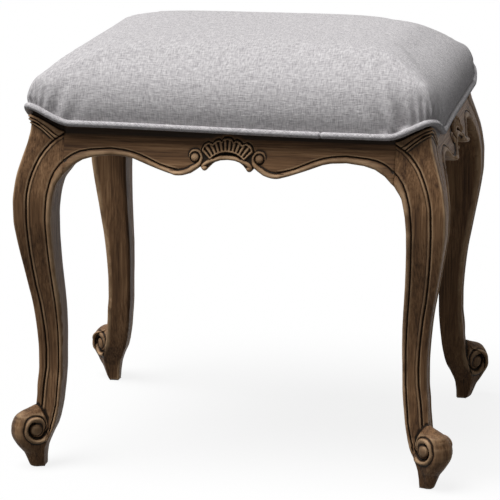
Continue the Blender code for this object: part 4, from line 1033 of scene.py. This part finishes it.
# The sleeve is cut on the bias. Where a face joins the last ring to the first, the cloth's length runs on
rings, sides = faces // PIPING_SIDES, faces % PIPING_SIDES
rings = np.where((rings == 0) & (rings.max(1) == PIPING_RINGS - 1)[:, None], PIPING_RINGS, rings)
place_along = rings * (length[-1] / PIPING_RINGS)
place_round = sides * (2 * math.pi * PIPING_RADIUS / PIPING_SIDES)
bias = np.stack([place_along + place_round, place_along - place_round], axis=-1) / ROOT_TWO
piping = linen_piece("linen_piping", tube.reshape(-1, 3), faces.tolist(), bias)
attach(piping, "root")
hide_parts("piping")

# Corner blocks and dowels. Bare beech, planed: a block glued and screwed behind each leg, and two plain dowels
# in each joint. They stay as the CAD has them.


def plain_wood(name, grain, codes, rings):
    """Unstained wood: streaks along the grain, pale and dark, and the saw's and plane's faint ripple."""
    made, tree, shader = new_material(name)
    place = add(tree, "ShaderNodeTexCoord").outputs["Object"]
    sizes = [120 if axis == grain else rings for axis in range(3)]
    streak = streaks(place, sizes, Detail=4, Roughness=0.6)
    tone = ramped(streak, list(zip((0.35, 0.68), codes)))
    gloss = ranged(streak, To_Min=0.72, To_Max=0.55)
    feed(shader, Base_Color=tone, Roughness=gloss, Normal=bumped(streak, 0.4, 0.0003))
    shader.inputs["Specular IOR Level"].default_value = 0.25
    return made


def dress(starts, finish):
    """Gives the CAD nodes whose names start so their finish, in their own material slots."""
    for name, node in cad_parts.items():
        if name.startswith(starts):
            for place in node.material_slots:
                place.material = finish


dress(("corner_block", "dowel"), plain_wood("bare_beech", 0, ("#B08C62", "#D9BC92"), 3))

# Seat board. Birch plywood, 9 mm: rotary-cut face veneer with broad pale figure, unfinished. It lies on the
# rails, notched round the leg heads and screwed to the corner blocks, and carries the foam.
dress("seat_board", plain_wood("birch_plywood", 0, ("#C3A276", "#E2CBA2"), 24))

# Dust cover. Thin black spunbonded cloth under the seat board, held between it and the rails. Its fibres lie
# every way and are pressed in small dots.
spunbond, tree, shader = new_material("black_spunbond")
place = add(tree, "ShaderNodeTexCoord").outputs["Object"]
fibres = add(tree, "ShaderNodeTexNoise", [("Vector", place)], Scale=900, Detail=4, Distortion=1.5).outputs[0]
dots = add(tree, "ShaderNodeTexVoronoi", [("Vector", place)], Scale=1000 / 1.4, Randomness=0.15).outputs["Distance"]
shade = tinted(fibres, "#141414", "#343434")
texture = bumped(math_of("ADD", fibres, dots), 0.6, 0.0003)
gloss = ranged(dots, From_Max=0.5, To_Min=0.6, To_Max=0.9)
feed(shader, Base_Color=shade, Roughness=gloss, Normal=texture)
dress("dust_cover", spunbond)

# Screws. Zinc-plated steel wood screws, two through each corner block into the rails and one up into the seat
# board, with a faint bloom over the plating.
zinc, tree, shader = new_material("zinc_plated_steel")
place = add(tree, "ShaderNodeTexCoord").outputs["Object"]
bloom = add(tree, "ShaderNodeTexNoise", [("Vector", place)], Scale=500, Detail=3).outputs[0]
shade = tinted(bloom, "#A9A79C", "#D6D4CC")
feed(shader, Base_Color=shade, Roughness=ranged(bloom, To_Min=0.25, To_Max=0.5))
shader.inputs["Metallic"].default_value = 1
dress(("block_screw", "seat_screw"), zinc)
